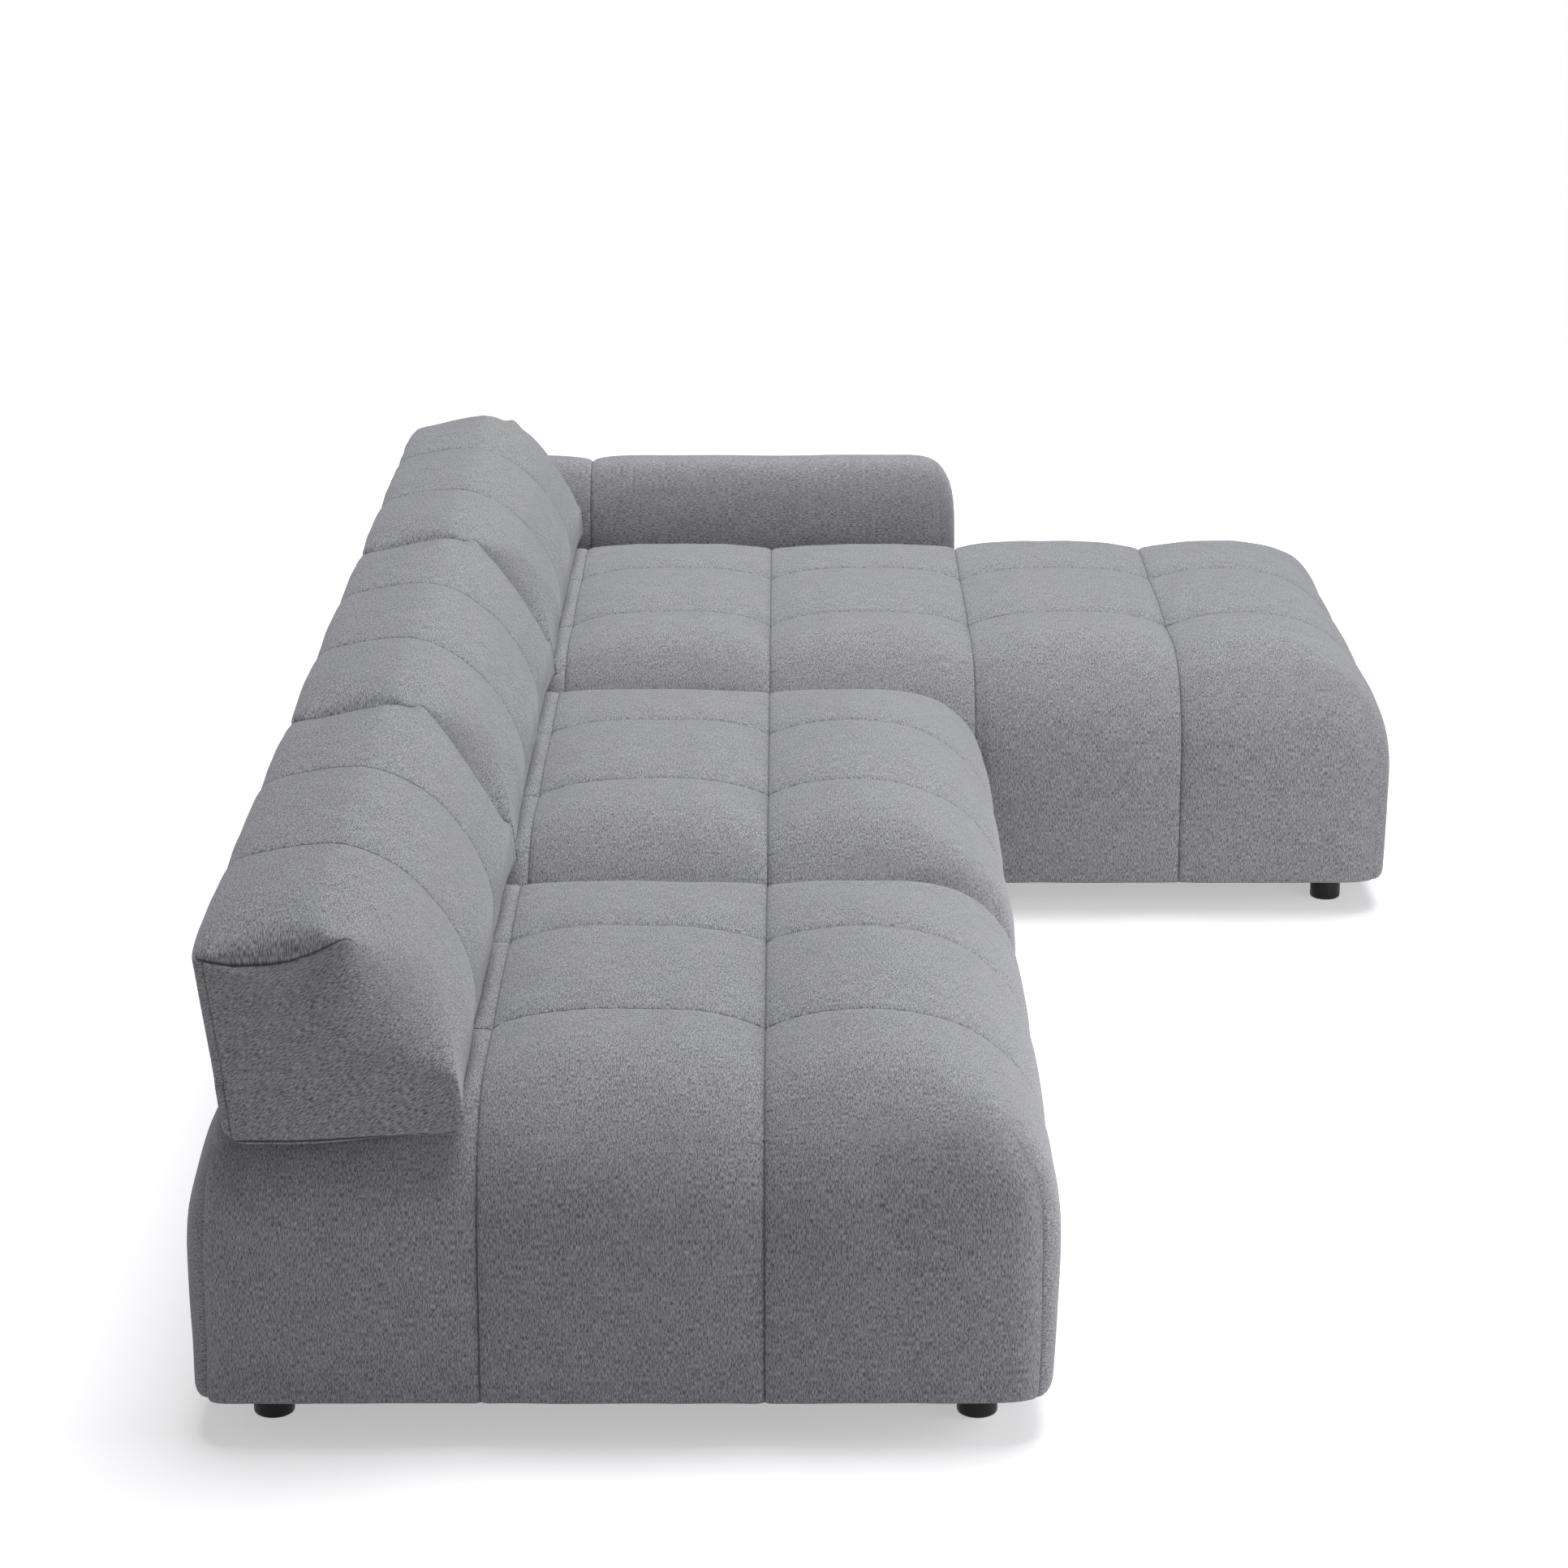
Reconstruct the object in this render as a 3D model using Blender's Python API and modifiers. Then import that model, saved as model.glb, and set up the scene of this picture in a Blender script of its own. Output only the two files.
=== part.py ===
"""Corner sofa: three quilted seat modules in a row, the last one a chaise, with three wedge
backrests that plug into the seats and one armrest.

The layout runs from the rear line (X = 0) towards the front (+X), and from the free end
(Y = 0) towards the armrest (+Y). Left and right are those of someone who sits on it, so
left is +Y. An empty moves the whole layout so that the middle of its footprint is the origin.
"""
import bmesh
import bpy
from mathutils import Vector

# Driving dimensions in metres: the row
MODULE_WIDTH = 1.020
PANEL_DEPTH = 0.340
ARM_WIDTH = 0.220
ARM_HEIGHT = 0.543
PANELS_ACROSS = 3
SEAT_PANELS = 3
CHAISE_PANELS = 5
GAP = 0.0003
OVERRUN = 0.020

# Feet
FOOT_HEIGHT = 0.054
FOOT_RADIUS = 0.025
FOOT_EDGE = 0.0025
FOOT_SIDES = 24
FOOT_FROM_END = 0.081
FOOT_FROM_SIDE = 0.099
STUD_RADIUS = 0.004
STUD_LENGTH = 0.020
STUD_SIDES = 8
STUD_CLEARANCE = 0.0004

# Seat padding: heights of its seams, crowns of its pads, and roundings of its edges
SEAM_HEIGHT = 0.415
SHELF_DEPTH = 0.023
SEAT_CROWN = 0.028
STITCH_CROWN = 0.008
SIDE_CROWN = 0.018
END_CROWN = 0.007
FRONT_OVERHANG = 0.019
REAR_OVERHANG = 0.013
SIDE_OVERHANG = 0.005
TOP_ROUND = 0.190
FRONT_ROUND = 0.240
RIGHT_ROUND = 0.210
LEFT_ROUND = 0.150
REAR_ROUND = 0.090
CROWN_START = 0.200
HEM_TUCK = 0.006
HEM_RISE = 0.022
HEM_CREASE = 0.7
SIDE_PADDING = 0.045
PAD_POWER = 3
WIDE_POWER = 10
CORNER_POWER = 7
EDGE_POWER = 2.5

# Seat frame
BOARD = 0.022
CROSS_RAIL_HEIGHT = 0.198
BATTEN_WIDTH = 0.045
BATTEN_HEIGHT = 0.030
SOCKET_RAIL_FROM_REAR = 0.190
DUST_COVER = 0.0015
STRAP_WIDTH = 0.060
STRAP = 0.002
STRAP_LAP = 0.0002
STRAP_MARGIN = 0.003
STRAPS_FORWARD = 4
STRAPS_SEAT = 4
STRAPS_CHAISE = 8

# Links under the modules
LINK_WIDTH = 0.040
LINK_LENGTH = 0.240
LINK = 0.003
LINK_FROM_REAR = 0.300
LINK_FROM_FRONT = 0.170
BOLT_HEAD = 0.004
BOLT_RADIUS = 0.007
BOLT_SIDES = 6
BOLT_SHARES = (-0.42, -0.30, 0.30, 0.42)

# Backrest
BACK_FRONT = 0.335
BACK_REAR = 0.046
BACK_HEIGHT = 0.263
BACK_LEAN = 0.035
BACK_CROWN = 0.034
BACK_END_CROWN = 0.014
BACK_DROP = 0.025
BACK_END_DROP = 0.020
BACK_FRONT_ROUND = 0.160
BACK_REAR_ROUND = 0.016
BACK_TOP_ROUND = 0.185
BACK_END_ROUND = 0.070
BACK_RECESS = 0.002
BACK_SECTION_POWER = 2
BACK_END_POWER = 4
BACK_BOARD = 0.018
BACK_BOARD_FRONT = 0.035
BACK_BOARD_REAR = 0.030
BACK_BOARD_END = 0.060

# Plug fitting between a backrest and its seat
TONGUE_SPACING = 0.300
TONGUE_WIDTH = 0.040
TONGUE = 0.005
TONGUE_REACH = 0.150
TONGUE_CLEARANCE = 0.0005
BAR = 0.003
BAR_WIDTH = 0.040
BAR_LENGTH = 0.400
TUBE_WALL = 0.002
TUBE_BELOW_SHELF = 0.012
TUBE_LENGTH = 0.215
STRIP_HEIGHT = 0.050
STRIP_BELOW_RAIL = 0.012
SLOT_CLEARANCE = 0.001
WELD_LAP = 0.0005

# Armrest
ARM_TOP_ROUND = 0.090
ARM_SIDE_ROUND = 0.080
ARM_END_ROUND = 0.070
ARM_CROWN = 0.010
ARM_SECTION_POWER = 2.4
ARM_END_POWER = 3
ARM_PADDING = 0.050
ARM_TOP_PADDING = 0.080
ARM_BOARD = 0.018
ARM_END_BLOCK = 0.090

# Places of the cage lines, as shares of the panel that they cross
REAR_LINE_SHARES = (0.16, 0.55)
MIDDLE_LINE_SHARES = (0.5,)
FRONT_LINE_SHARES = (0.34, 0.78)
SIDE_LINE_SHARES = (0.22, 0.62)
BACK_END_LINE_SHARES = (0.16, 0.58)
BACK_DEPTH_LINE_SHARES = (0.16, 0.52)
BACK_HEIGHT_LINE_SHARES = (0.14, 0.50)
SEAT_HEIGHT_LINE_SHARES = (0.60,)
ARM_END_LINE_SHARES = (0.20,)
ARM_LONG_LINE_SHARES = (0.5,)
ARM_WIDTH_LINE_SHARES = (0.5,)
ARM_HEIGHT_LINE_SHARES = (0.45, 0.84)

# Derived sizes
SHELF_HEIGHT = SEAM_HEIGHT - SHELF_DEPTH
SEAT_DEPTH = SEAT_PANELS * PANEL_DEPTH
PANEL_WIDTH = MODULE_WIDTH / PANELS_ACROSS
BASE_BOTTOM = FOOT_HEIGHT + GAP
RAIL_BOTTOM = BASE_BOTTOM + DUST_COVER + GAP
CROSS_TOP = RAIL_BOTTOM + CROSS_RAIL_HEIGHT
SIDE_TOP = CROSS_TOP + STRAP - STRAP_LAP
CEILING = SIDE_TOP + GAP + STRAP + GAP
RAIL_OUTSIDE = SIDE_PADDING + GAP
RAIL_INSIDE = RAIL_OUTSIDE + BOARD
TUBE_DEPTH = TONGUE + 2 * TONGUE_CLEARANCE + 2 * TUBE_WALL
STRIP_FRONT = SOCKET_RAIL_FROM_REAR - GAP
TONGUE_X = STRIP_FRONT - BAR - TUBE_DEPTH / 2
BACK_BOTTOM = SHELF_HEIGHT + GAP
BOARD_BOTTOM = BACK_BOTTOM + BAR + GAP
TONGUE_SIDES = (MODULE_WIDTH / 2 - TONGUE_SPACING / 2, MODULE_WIDTH / 2 + TONGUE_SPACING / 2)


# Scene
for old in list(bpy.data.objects):
    bpy.data.objects.remove(old, do_unlink=True)

sofa = bpy.data.collections.new("corner_sofa")
cutters = bpy.data.collections.new("cutters")
cutters.hide_render = True
for group in (sofa, cutters):
    bpy.context.scene.collection.children.link(group)


def material(name, colour, roughness, metallic=0.0):
    made = bpy.data.materials.new(name)
    made.use_nodes = True
    shader = made.node_tree.nodes["Principled BSDF"]
    shader.inputs["Base Color"].default_value = (*colour, 1.0)
    shader.inputs["Roughness"].default_value = roughness
    shader.inputs["Metallic"].default_value = metallic
    return made


fabric = material("grey_melange_fabric", (0.25, 0.255, 0.27), 0.9)
plywood = material("plywood", (0.62, 0.46, 0.29), 0.6)
plastic = material("black_plastic", (0.015, 0.015, 0.016), 0.45)
steel = material("zinc_plated_steel", (0.62, 0.63, 0.65), 0.35, 1.0)
strapping = material("elastic_webbing", (0.55, 0.50, 0.42), 0.8)
lining = material("black_dust_cloth", (0.03, 0.03, 0.032), 0.95)


def empty(name, place, parent=None):
    made = bpy.data.objects.new(name, None)
    made.location = place
    made.parent = parent
    sofa.objects.link(made)
    return made


def placed(name, mesh, parent, finish):
    """A sub-part: an object with its own mesh and finish, carried by an empty."""
    made = bpy.data.objects.new(name, mesh)
    mesh.materials.append(finish)
    made.parent = parent
    sofa.objects.link(made)
    return made


def tool(name, mesh, parent):
    """A helper for a Boolean, kept out of the finished parts."""
    made = bpy.data.objects.new(name, mesh)
    made.parent = parent
    made.hide_render = True
    made.display_type = "WIRE"
    cutters.objects.link(made)
    return made


def mesh_of(name, bm):
    mesh = bpy.data.meshes.new(name)
    bm.to_mesh(mesh)
    bm.free()
    return mesh


def add_box(bm, low, high):
    made = bmesh.ops.create_cube(bm, size=1.0)["verts"]
    middle = (Vector(low) + Vector(high)) / 2
    size = Vector(high) - Vector(low)
    bmesh.ops.scale(bm, verts=made, vec=size)
    bmesh.ops.translate(bm, verts=made, vec=middle)


def add_rod(bm, base, length, radius, sides):
    """An upright round bar that stands on base."""
    made = bmesh.ops.create_cone(
        bm, cap_ends=True, segments=sides, radius1=radius, radius2=radius, depth=length
    )["verts"]
    bmesh.ops.translate(bm, verts=made, vec=Vector(base) + Vector((0, 0, length / 2)))


def boxes(name, corners):
    bm = bmesh.new()
    for low, high in corners:
        add_box(bm, low, high)
    return mesh_of(name, bm)


def rods(name, bases, length, radius, sides):
    bm = bmesh.new()
    for base in bases:
        add_rod(bm, base, length, radius, sides)
    return mesh_of(name, bm)


def join(body, other, operation):
    modifier = body.modifiers.new(operation.lower(), "BOOLEAN")
    modifier.operation = operation
    modifier.object = other
    modifier.solver = "EXACT"


# Soft forms
def softened(point, low, high, before, after, pair, pair_power, third_power):
    """Carries a point of a box's surface onto a rounded box.

    before and after are the roundings at the low and the high side of each axis. The two
    axes in pair are rounded together first, and then with the third. Returns the point and
    the direction in which a pad swells there.
    """
    core, reach, radius = [], [], []
    for axis in range(3):
        held = min(max(point[axis], low[axis] + before[axis]), high[axis] - after[axis])
        span = after[axis] if point[axis] > held else before[axis]
        core.append(held)
        radius.append(span)
        reach.append((point[axis] - held) / span if span else 0.0)
    first, second = pair
    third = 3 - first - second
    together = abs(reach[first]) ** pair_power + abs(reach[second]) ** pair_power
    length = together ** (third_power / pair_power) + abs(reach[third]) ** third_power
    scale = length ** (-1 / third_power) if length else 1.0
    moved = Vector(c + r * s * scale for c, r, s in zip(core, reach, radius))
    swell = Vector(reach)
    return moved, swell.normalized() if length else swell


def bump(value, start, width, power):
    """0 at each seam and 1 in the middle between two of them."""
    share = ((value - start) / width) % 1.0
    return 1 - abs(2 * share - 1) ** power


def hem(height, bottom):
    """How far the sides have swelled at this height: nothing at the hem, all above it."""
    short = max(0.0, (bottom + CROWN_START - height) / CROWN_START)
    return 1 - short**2


def tucked(point, bottom, low, high):
    """Draws the lowest edge in, as where the cloth turns under."""
    if point.z > bottom + GAP:
        return point
    for axis in (0, 1):
        point[axis] = min(max(point[axis], low[axis] + HEM_TUCK), high[axis] - HEM_TUCK)
    return point


def lines_of(start, width, count, first, middle, last):
    """Seams and the cage lines between them, for a row of panels."""
    found = []
    for panel in range(count):
        shares = first if panel == 0 else last if panel == count - 1 else middle
        found += [start + (panel + share) * width for share in shares]
        if panel:
            found.append(start + panel * width)
    return found


def cage(name, low, high, lines, creases, shape):
    """A box cut along lines on each axis, shaped point by point.

    creases holds (weight, {axis: place}, top): the edges at those places that lie no higher
    than top are creased by weight.
    """
    bm = bmesh.new()
    add_box(bm, low, high)
    for axis, places in enumerate(lines):
        normal = Vector((0, 0, 0))
        normal[axis] = 1
        for place in places:
            bmesh.ops.bisect_plane(
                bm, geom=bm.verts[:] + bm.edges[:] + bm.faces[:], plane_co=normal * place, plane_no=normal
            )
    crease = bm.edges.layers.float.new("crease_edge")
    for edge in bm.edges:
        ends = [vert.co for vert in edge.verts]
        for weight, held, top in creases:
            there = all(abs(end[axis] - place) < GAP for end in ends for axis, place in held.items())
            if there and all(end.z < top + GAP for end in ends):
                edge[crease] = max(edge[crease], weight)
    for vert in bm.verts:
        vert.co = shape(vert.co.copy())
    for face in bm.faces:
        face.smooth = True
    return mesh_of(name, bm)


def soft(name, mesh, parent):
    made = placed(name, mesh, parent, fabric)
    smooth = made.modifiers.new("rounding", "SUBSURF")
    smooth.levels = 1
    smooth.render_levels = 1
    made.modifiers.new("triangles", "TRIANGULATE")
    return made


# Seat modules
def seat_cover(name, parent, panels, held_right, held_left):
    """The foam and its quilted cover, a deep tray turned over the frame.

    held_right and held_left are how far forward from the rear a neighbour presses on that
    side and keeps it flat. Beyond that the pads swell outwards.
    """
    depth = panels * PANEL_DEPTH
    low = (-REAR_OVERHANG, -SIDE_OVERHANG, BASE_BOTTOM)
    high = (depth + FRONT_OVERHANG, MODULE_WIDTH + SIDE_OVERHANG, SEAM_HEIGHT)
    across = lines_of(
        0, PANEL_WIDTH, PANELS_ACROSS, SIDE_LINE_SHARES, MIDDLE_LINE_SHARES,
        [1 - share for share in SIDE_LINE_SHARES],
    )
    forward = lines_of(
        0, PANEL_DEPTH, panels, REAR_LINE_SHARES, MIDDLE_LINE_SHARES, FRONT_LINE_SHARES
    )
    upward = [BASE_BOTTOM + HEM_RISE] + [
        BASE_BOTTOM + share * (SEAM_HEIGHT - BASE_BOTTOM) for share in SEAT_HEIGHT_LINE_SHARES
    ]
    creases = [(1, {0: panel * PANEL_DEPTH}, high[2]) for panel in range(1, panels)]
    creases += [(1, {1: panel * PANEL_WIDTH}, high[2]) for panel in range(1, PANELS_ACROSS)]
    creases += [(1, {0: x, 1: y}, upward[-1]) for x in (low[0], high[0]) for y in (low[1], high[1])]
    creases.append((HEM_CREASE, {2: BASE_BOTTOM}, high[2]))

    def shape(point):
        along = bump(point.x, 0, PANEL_DEPTH, PAD_POWER)
        over = bump(point.y, 0, PANEL_WIDTH, PAD_POWER)
        wide = bump(point.y, 0, MODULE_WIDTH, WIDE_POWER)
        height = point.z
        forward_of_rear = point.x
        moved, swell = softened(
            point, low, high, (REAR_ROUND, RIGHT_ROUND, 0), (FRONT_ROUND, LEFT_ROUND, TOP_ROUND),
            (0, 1), CORNER_POWER, EDGE_POWER,
        )
        top = 0 if point.x < PANEL_DEPTH else SEAT_CROWN * along + STITCH_CROWN * over
        side = (SIDE_CROWN * along) * hem(height, BASE_BOTTOM)
        end = (END_CROWN * wide) * hem(height, BASE_BOTTOM)
        moved += Vector((swell.x * end, swell.y * side, swell.z * top))
        if forward_of_rear < held_right:
            moved.y = max(moved.y, GAP / 2)
        if forward_of_rear < held_left:
            moved.y = min(moved.y, MODULE_WIDTH - GAP / 2)
        return tucked(moved, BASE_BOTTOM, low, high)

    cover = soft(name + "_cover", cage(name + "_cover", low, high, (forward, across, upward), creases, shape), parent)
    inside = boxes(
        name + "_pocket",
        [(
            (SIDE_PADDING, SIDE_PADDING, BASE_BOTTOM - OVERRUN),
            (depth - SIDE_PADDING, MODULE_WIDTH - SIDE_PADDING, CEILING),
        )],
    )
    join(cover, tool(name + "_pocket", inside, parent), "DIFFERENCE")
    shelf = boxes(name + "_shelf", [(
        (-SEAT_DEPTH, -MODULE_WIDTH, SHELF_HEIGHT), (BACK_FRONT + BACK_RECESS, 2 * MODULE_WIDTH, 2 * SEAM_HEIGHT),
    )])
    join(cover, tool(name + "_shelf", shelf, parent), "DIFFERENCE")
    half_depth = TUBE_DEPTH / 2 + SLOT_CLEARANCE
    half_width = TONGUE_WIDTH / 2 + TONGUE_CLEARANCE + TUBE_WALL + SLOT_CLEARANCE
    slots = boxes(
        name + "_slots",
        [
            (
                (TONGUE_X - half_depth, side - half_width, CEILING - OVERRUN),
                (TONGUE_X + half_depth + BAR, side + half_width, SHELF_HEIGHT + OVERRUN),
            )
            for side in TONGUE_SIDES
        ],
    )
    join(cover, tool(name + "_slots", slots, parent), "DIFFERENCE")


def foot_places(depth):
    """Names and centres of a module's feet, seen by someone who sits on it."""
    return {
        "rear_right": (FOOT_FROM_END, FOOT_FROM_SIDE),
        "rear_left": (FOOT_FROM_END, MODULE_WIDTH - FOOT_FROM_SIDE),
        "front_right": (depth - FOOT_FROM_END, FOOT_FROM_SIDE),
        "front_left": (depth - FOOT_FROM_END, MODULE_WIDTH - FOOT_FROM_SIDE),
    }


def foot(name, x, y, parent):
    """A turned plastic foot with its threaded stud, standing on the floor."""
    bm = bmesh.new()
    add_rod(bm, (0, 0, 0), FOOT_HEIGHT, FOOT_RADIUS, FOOT_SIDES)
    rim = [edge for edge in bm.edges if len({round(vert.co.z, 6) for vert in edge.verts}) == 1]
    bmesh.ops.bevel(bm, geom=rim, offset=FOOT_EDGE, segments=2, affect="EDGES", profile=0.5)
    body = placed(name, mesh_of(name, bm), parent, plastic)
    body.location = (x, y, 0)
    stud = rods(name + "_stud", [(0, 0, FOOT_HEIGHT / 2)], FOOT_HEIGHT / 2 + STUD_LENGTH, STUD_RADIUS, STUD_SIDES)
    helper = tool(name + "_stud", stud, parent)
    helper.location = (x, y, 0)
    join(body, helper, "UNION")


def stud_holes(name, centres, parent):
    bases = [(x, y, FOOT_HEIGHT - OVERRUN) for x, y in centres]
    holes = rods(
        name + "_stud_holes", bases, OVERRUN + STUD_LENGTH + STUD_CLEARANCE,
        STUD_RADIUS + STUD_CLEARANCE, STUD_SIDES,
    )
    return tool(name + "_stud_holes", holes, parent)


def side_rail(name, depth, mirrored, holes, parent):
    """A side board with the batten glued along its foot, which takes the feet's studs."""
    board_low = (RAIL_OUTSIDE, RAIL_OUTSIDE, RAIL_BOTTOM)
    board_high = (depth - RAIL_OUTSIDE, RAIL_INSIDE, SIDE_TOP)
    batten_low = (RAIL_INSIDE + GAP, RAIL_INSIDE - WELD_LAP, RAIL_BOTTOM)
    batten_high = (depth - RAIL_INSIDE - GAP, RAIL_INSIDE + BATTEN_WIDTH, RAIL_BOTTOM + BATTEN_HEIGHT)
    corners = [(board_low, board_high), (batten_low, batten_high)]
    if mirrored:
        corners = [
            ((low[0], MODULE_WIDTH - high[1], low[2]), (high[0], MODULE_WIDTH - low[1], high[2]))
            for low, high in corners
        ]
    board = placed(name, boxes(name, corners[:1]), parent, plywood)
    batten = tool(name + "_batten", boxes(name + "_batten", corners[1:]), parent)
    join(board, batten, "UNION")
    join(board, holes, "DIFFERENCE")


def cross_rail(name, rear, bottom, parent):
    """A board between the side rails, with its rear face at rear."""
    low = (rear, RAIL_INSIDE + GAP, bottom)
    high = (rear + BOARD, MODULE_WIDTH - RAIL_INSIDE - GAP, CROSS_TOP)
    placed(name, boxes(name, [(low, high)]), parent, plywood)


def webbing(name, depth, straps_across, parent):
    """Elastic straps stapled to the rails, sewn to one another where they cross."""
    start = SOCKET_RAIL_FROM_REAR + STRAP_MARGIN
    end = depth - RAIL_OUTSIDE - STRAP_MARGIN
    inner_start = SOCKET_RAIL_FROM_REAR + BOARD
    inner_end = depth - RAIL_INSIDE
    side = RAIL_OUTSIDE + STRAP_MARGIN
    lower = CROSS_TOP + GAP
    upper = lower + STRAP - STRAP_LAP
    forward, across = [], []
    for place in range(STRAPS_FORWARD):
        pitch = (MODULE_WIDTH - 2 * RAIL_INSIDE) / STRAPS_FORWARD
        middle = RAIL_INSIDE + (place + 0.5) * pitch
        forward.append((
            (start, middle - STRAP_WIDTH / 2, lower), (end, middle + STRAP_WIDTH / 2, lower + STRAP)
        ))
    for place in range(straps_across):
        pitch = (inner_end - inner_start) / straps_across
        middle = inner_start + (place + 0.5) * pitch
        across.append((
            (middle - STRAP_WIDTH / 2, side, upper),
            (middle + STRAP_WIDTH / 2, MODULE_WIDTH - side, upper + STRAP),
        ))
    straps = placed(name, boxes(name, forward), parent, strapping)
    join(straps, tool(name + "_across", boxes(name + "_across", across), parent), "UNION")


def sockets(name, parent):
    """A steel strip on the socket rail, with two upright tubes for the backrest's tongues."""
    tube_rear = STRIP_FRONT - BAR - TUBE_DEPTH
    tube_top = SHELF_HEIGHT - TUBE_BELOW_SHELF
    half_outside = TONGUE_WIDTH / 2 + TONGUE_CLEARANCE + TUBE_WALL
    half_inside = TONGUE_WIDTH / 2 + TONGUE_CLEARANCE
    strip_top = CROSS_TOP - STRIP_BELOW_RAIL
    strip = placed(
        name,
        boxes(name, [(
            (STRIP_FRONT - BAR, MODULE_WIDTH / 2 - BAR_LENGTH / 2, strip_top - STRIP_HEIGHT),
            (STRIP_FRONT, MODULE_WIDTH / 2 + BAR_LENGTH / 2, strip_top),
        )]),
        parent, steel,
    )
    tubes = boxes(name + "_tubes", [
        (
            (tube_rear, side - half_outside, tube_top - TUBE_LENGTH),
            (STRIP_FRONT - BAR + WELD_LAP, side + half_outside, tube_top),
        )
        for side in TONGUE_SIDES
    ])
    bores = boxes(name + "_bores", [
        (
            (tube_rear + TUBE_WALL, side - half_inside, tube_top - TUBE_LENGTH - OVERRUN),
            (tube_rear + TUBE_DEPTH - TUBE_WALL, side + half_inside, tube_top + OVERRUN),
        )
        for side in TONGUE_SIDES
    ])
    join(strip, tool(name + "_tubes", tubes, parent), "UNION")
    join(strip, tool(name + "_bores", bores, parent), "DIFFERENCE")


def dust_cover(name, depth, holes, parent):
    low = (RAIL_OUTSIDE, RAIL_OUTSIDE, BASE_BOTTOM)
    high = (depth - RAIL_OUTSIDE, MODULE_WIDTH - RAIL_OUTSIDE, BASE_BOTTOM + DUST_COVER)
    cloth = placed(name, boxes(name, [(low, high)]), parent, lining)
    join(cloth, holes, "DIFFERENCE")


def seat(name, parent, panels, straps_across, held_right, held_left):
    """One seat module with all that it holds."""
    depth = panels * PANEL_DEPTH
    front_rail = depth - RAIL_INSIDE
    over_batten = RAIL_BOTTOM + BATTEN_HEIGHT + GAP
    feet = foot_places(depth)
    holes = stud_holes(name, feet.values(), parent)
    seat_cover(name, parent, panels, held_right, held_left)
    side_rail(name + "_right_rail", depth, False, holes, parent)
    side_rail(name + "_left_rail", depth, True, holes, parent)
    cross_rail(name + "_rear_rail", RAIL_OUTSIDE, RAIL_BOTTOM, parent)
    cross_rail(name + "_socket_rail", SOCKET_RAIL_FROM_REAR, over_batten, parent)
    cross_rail(name + "_front_rail", front_rail, RAIL_BOTTOM, parent)
    if panels > SEAT_PANELS:
        middle = (SOCKET_RAIL_FROM_REAR + front_rail) / 2
        cross_rail(name + "_middle_rail", middle, over_batten, parent)
    webbing(name + "_webbing", depth, straps_across, parent)
    sockets(name + "_back_sockets", parent)
    dust_cover(name + "_dust_cover", depth, holes, parent)
    for corner, (x, y) in feet.items():
        foot(name + "_foot_" + corner, x, y, parent)


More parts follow.
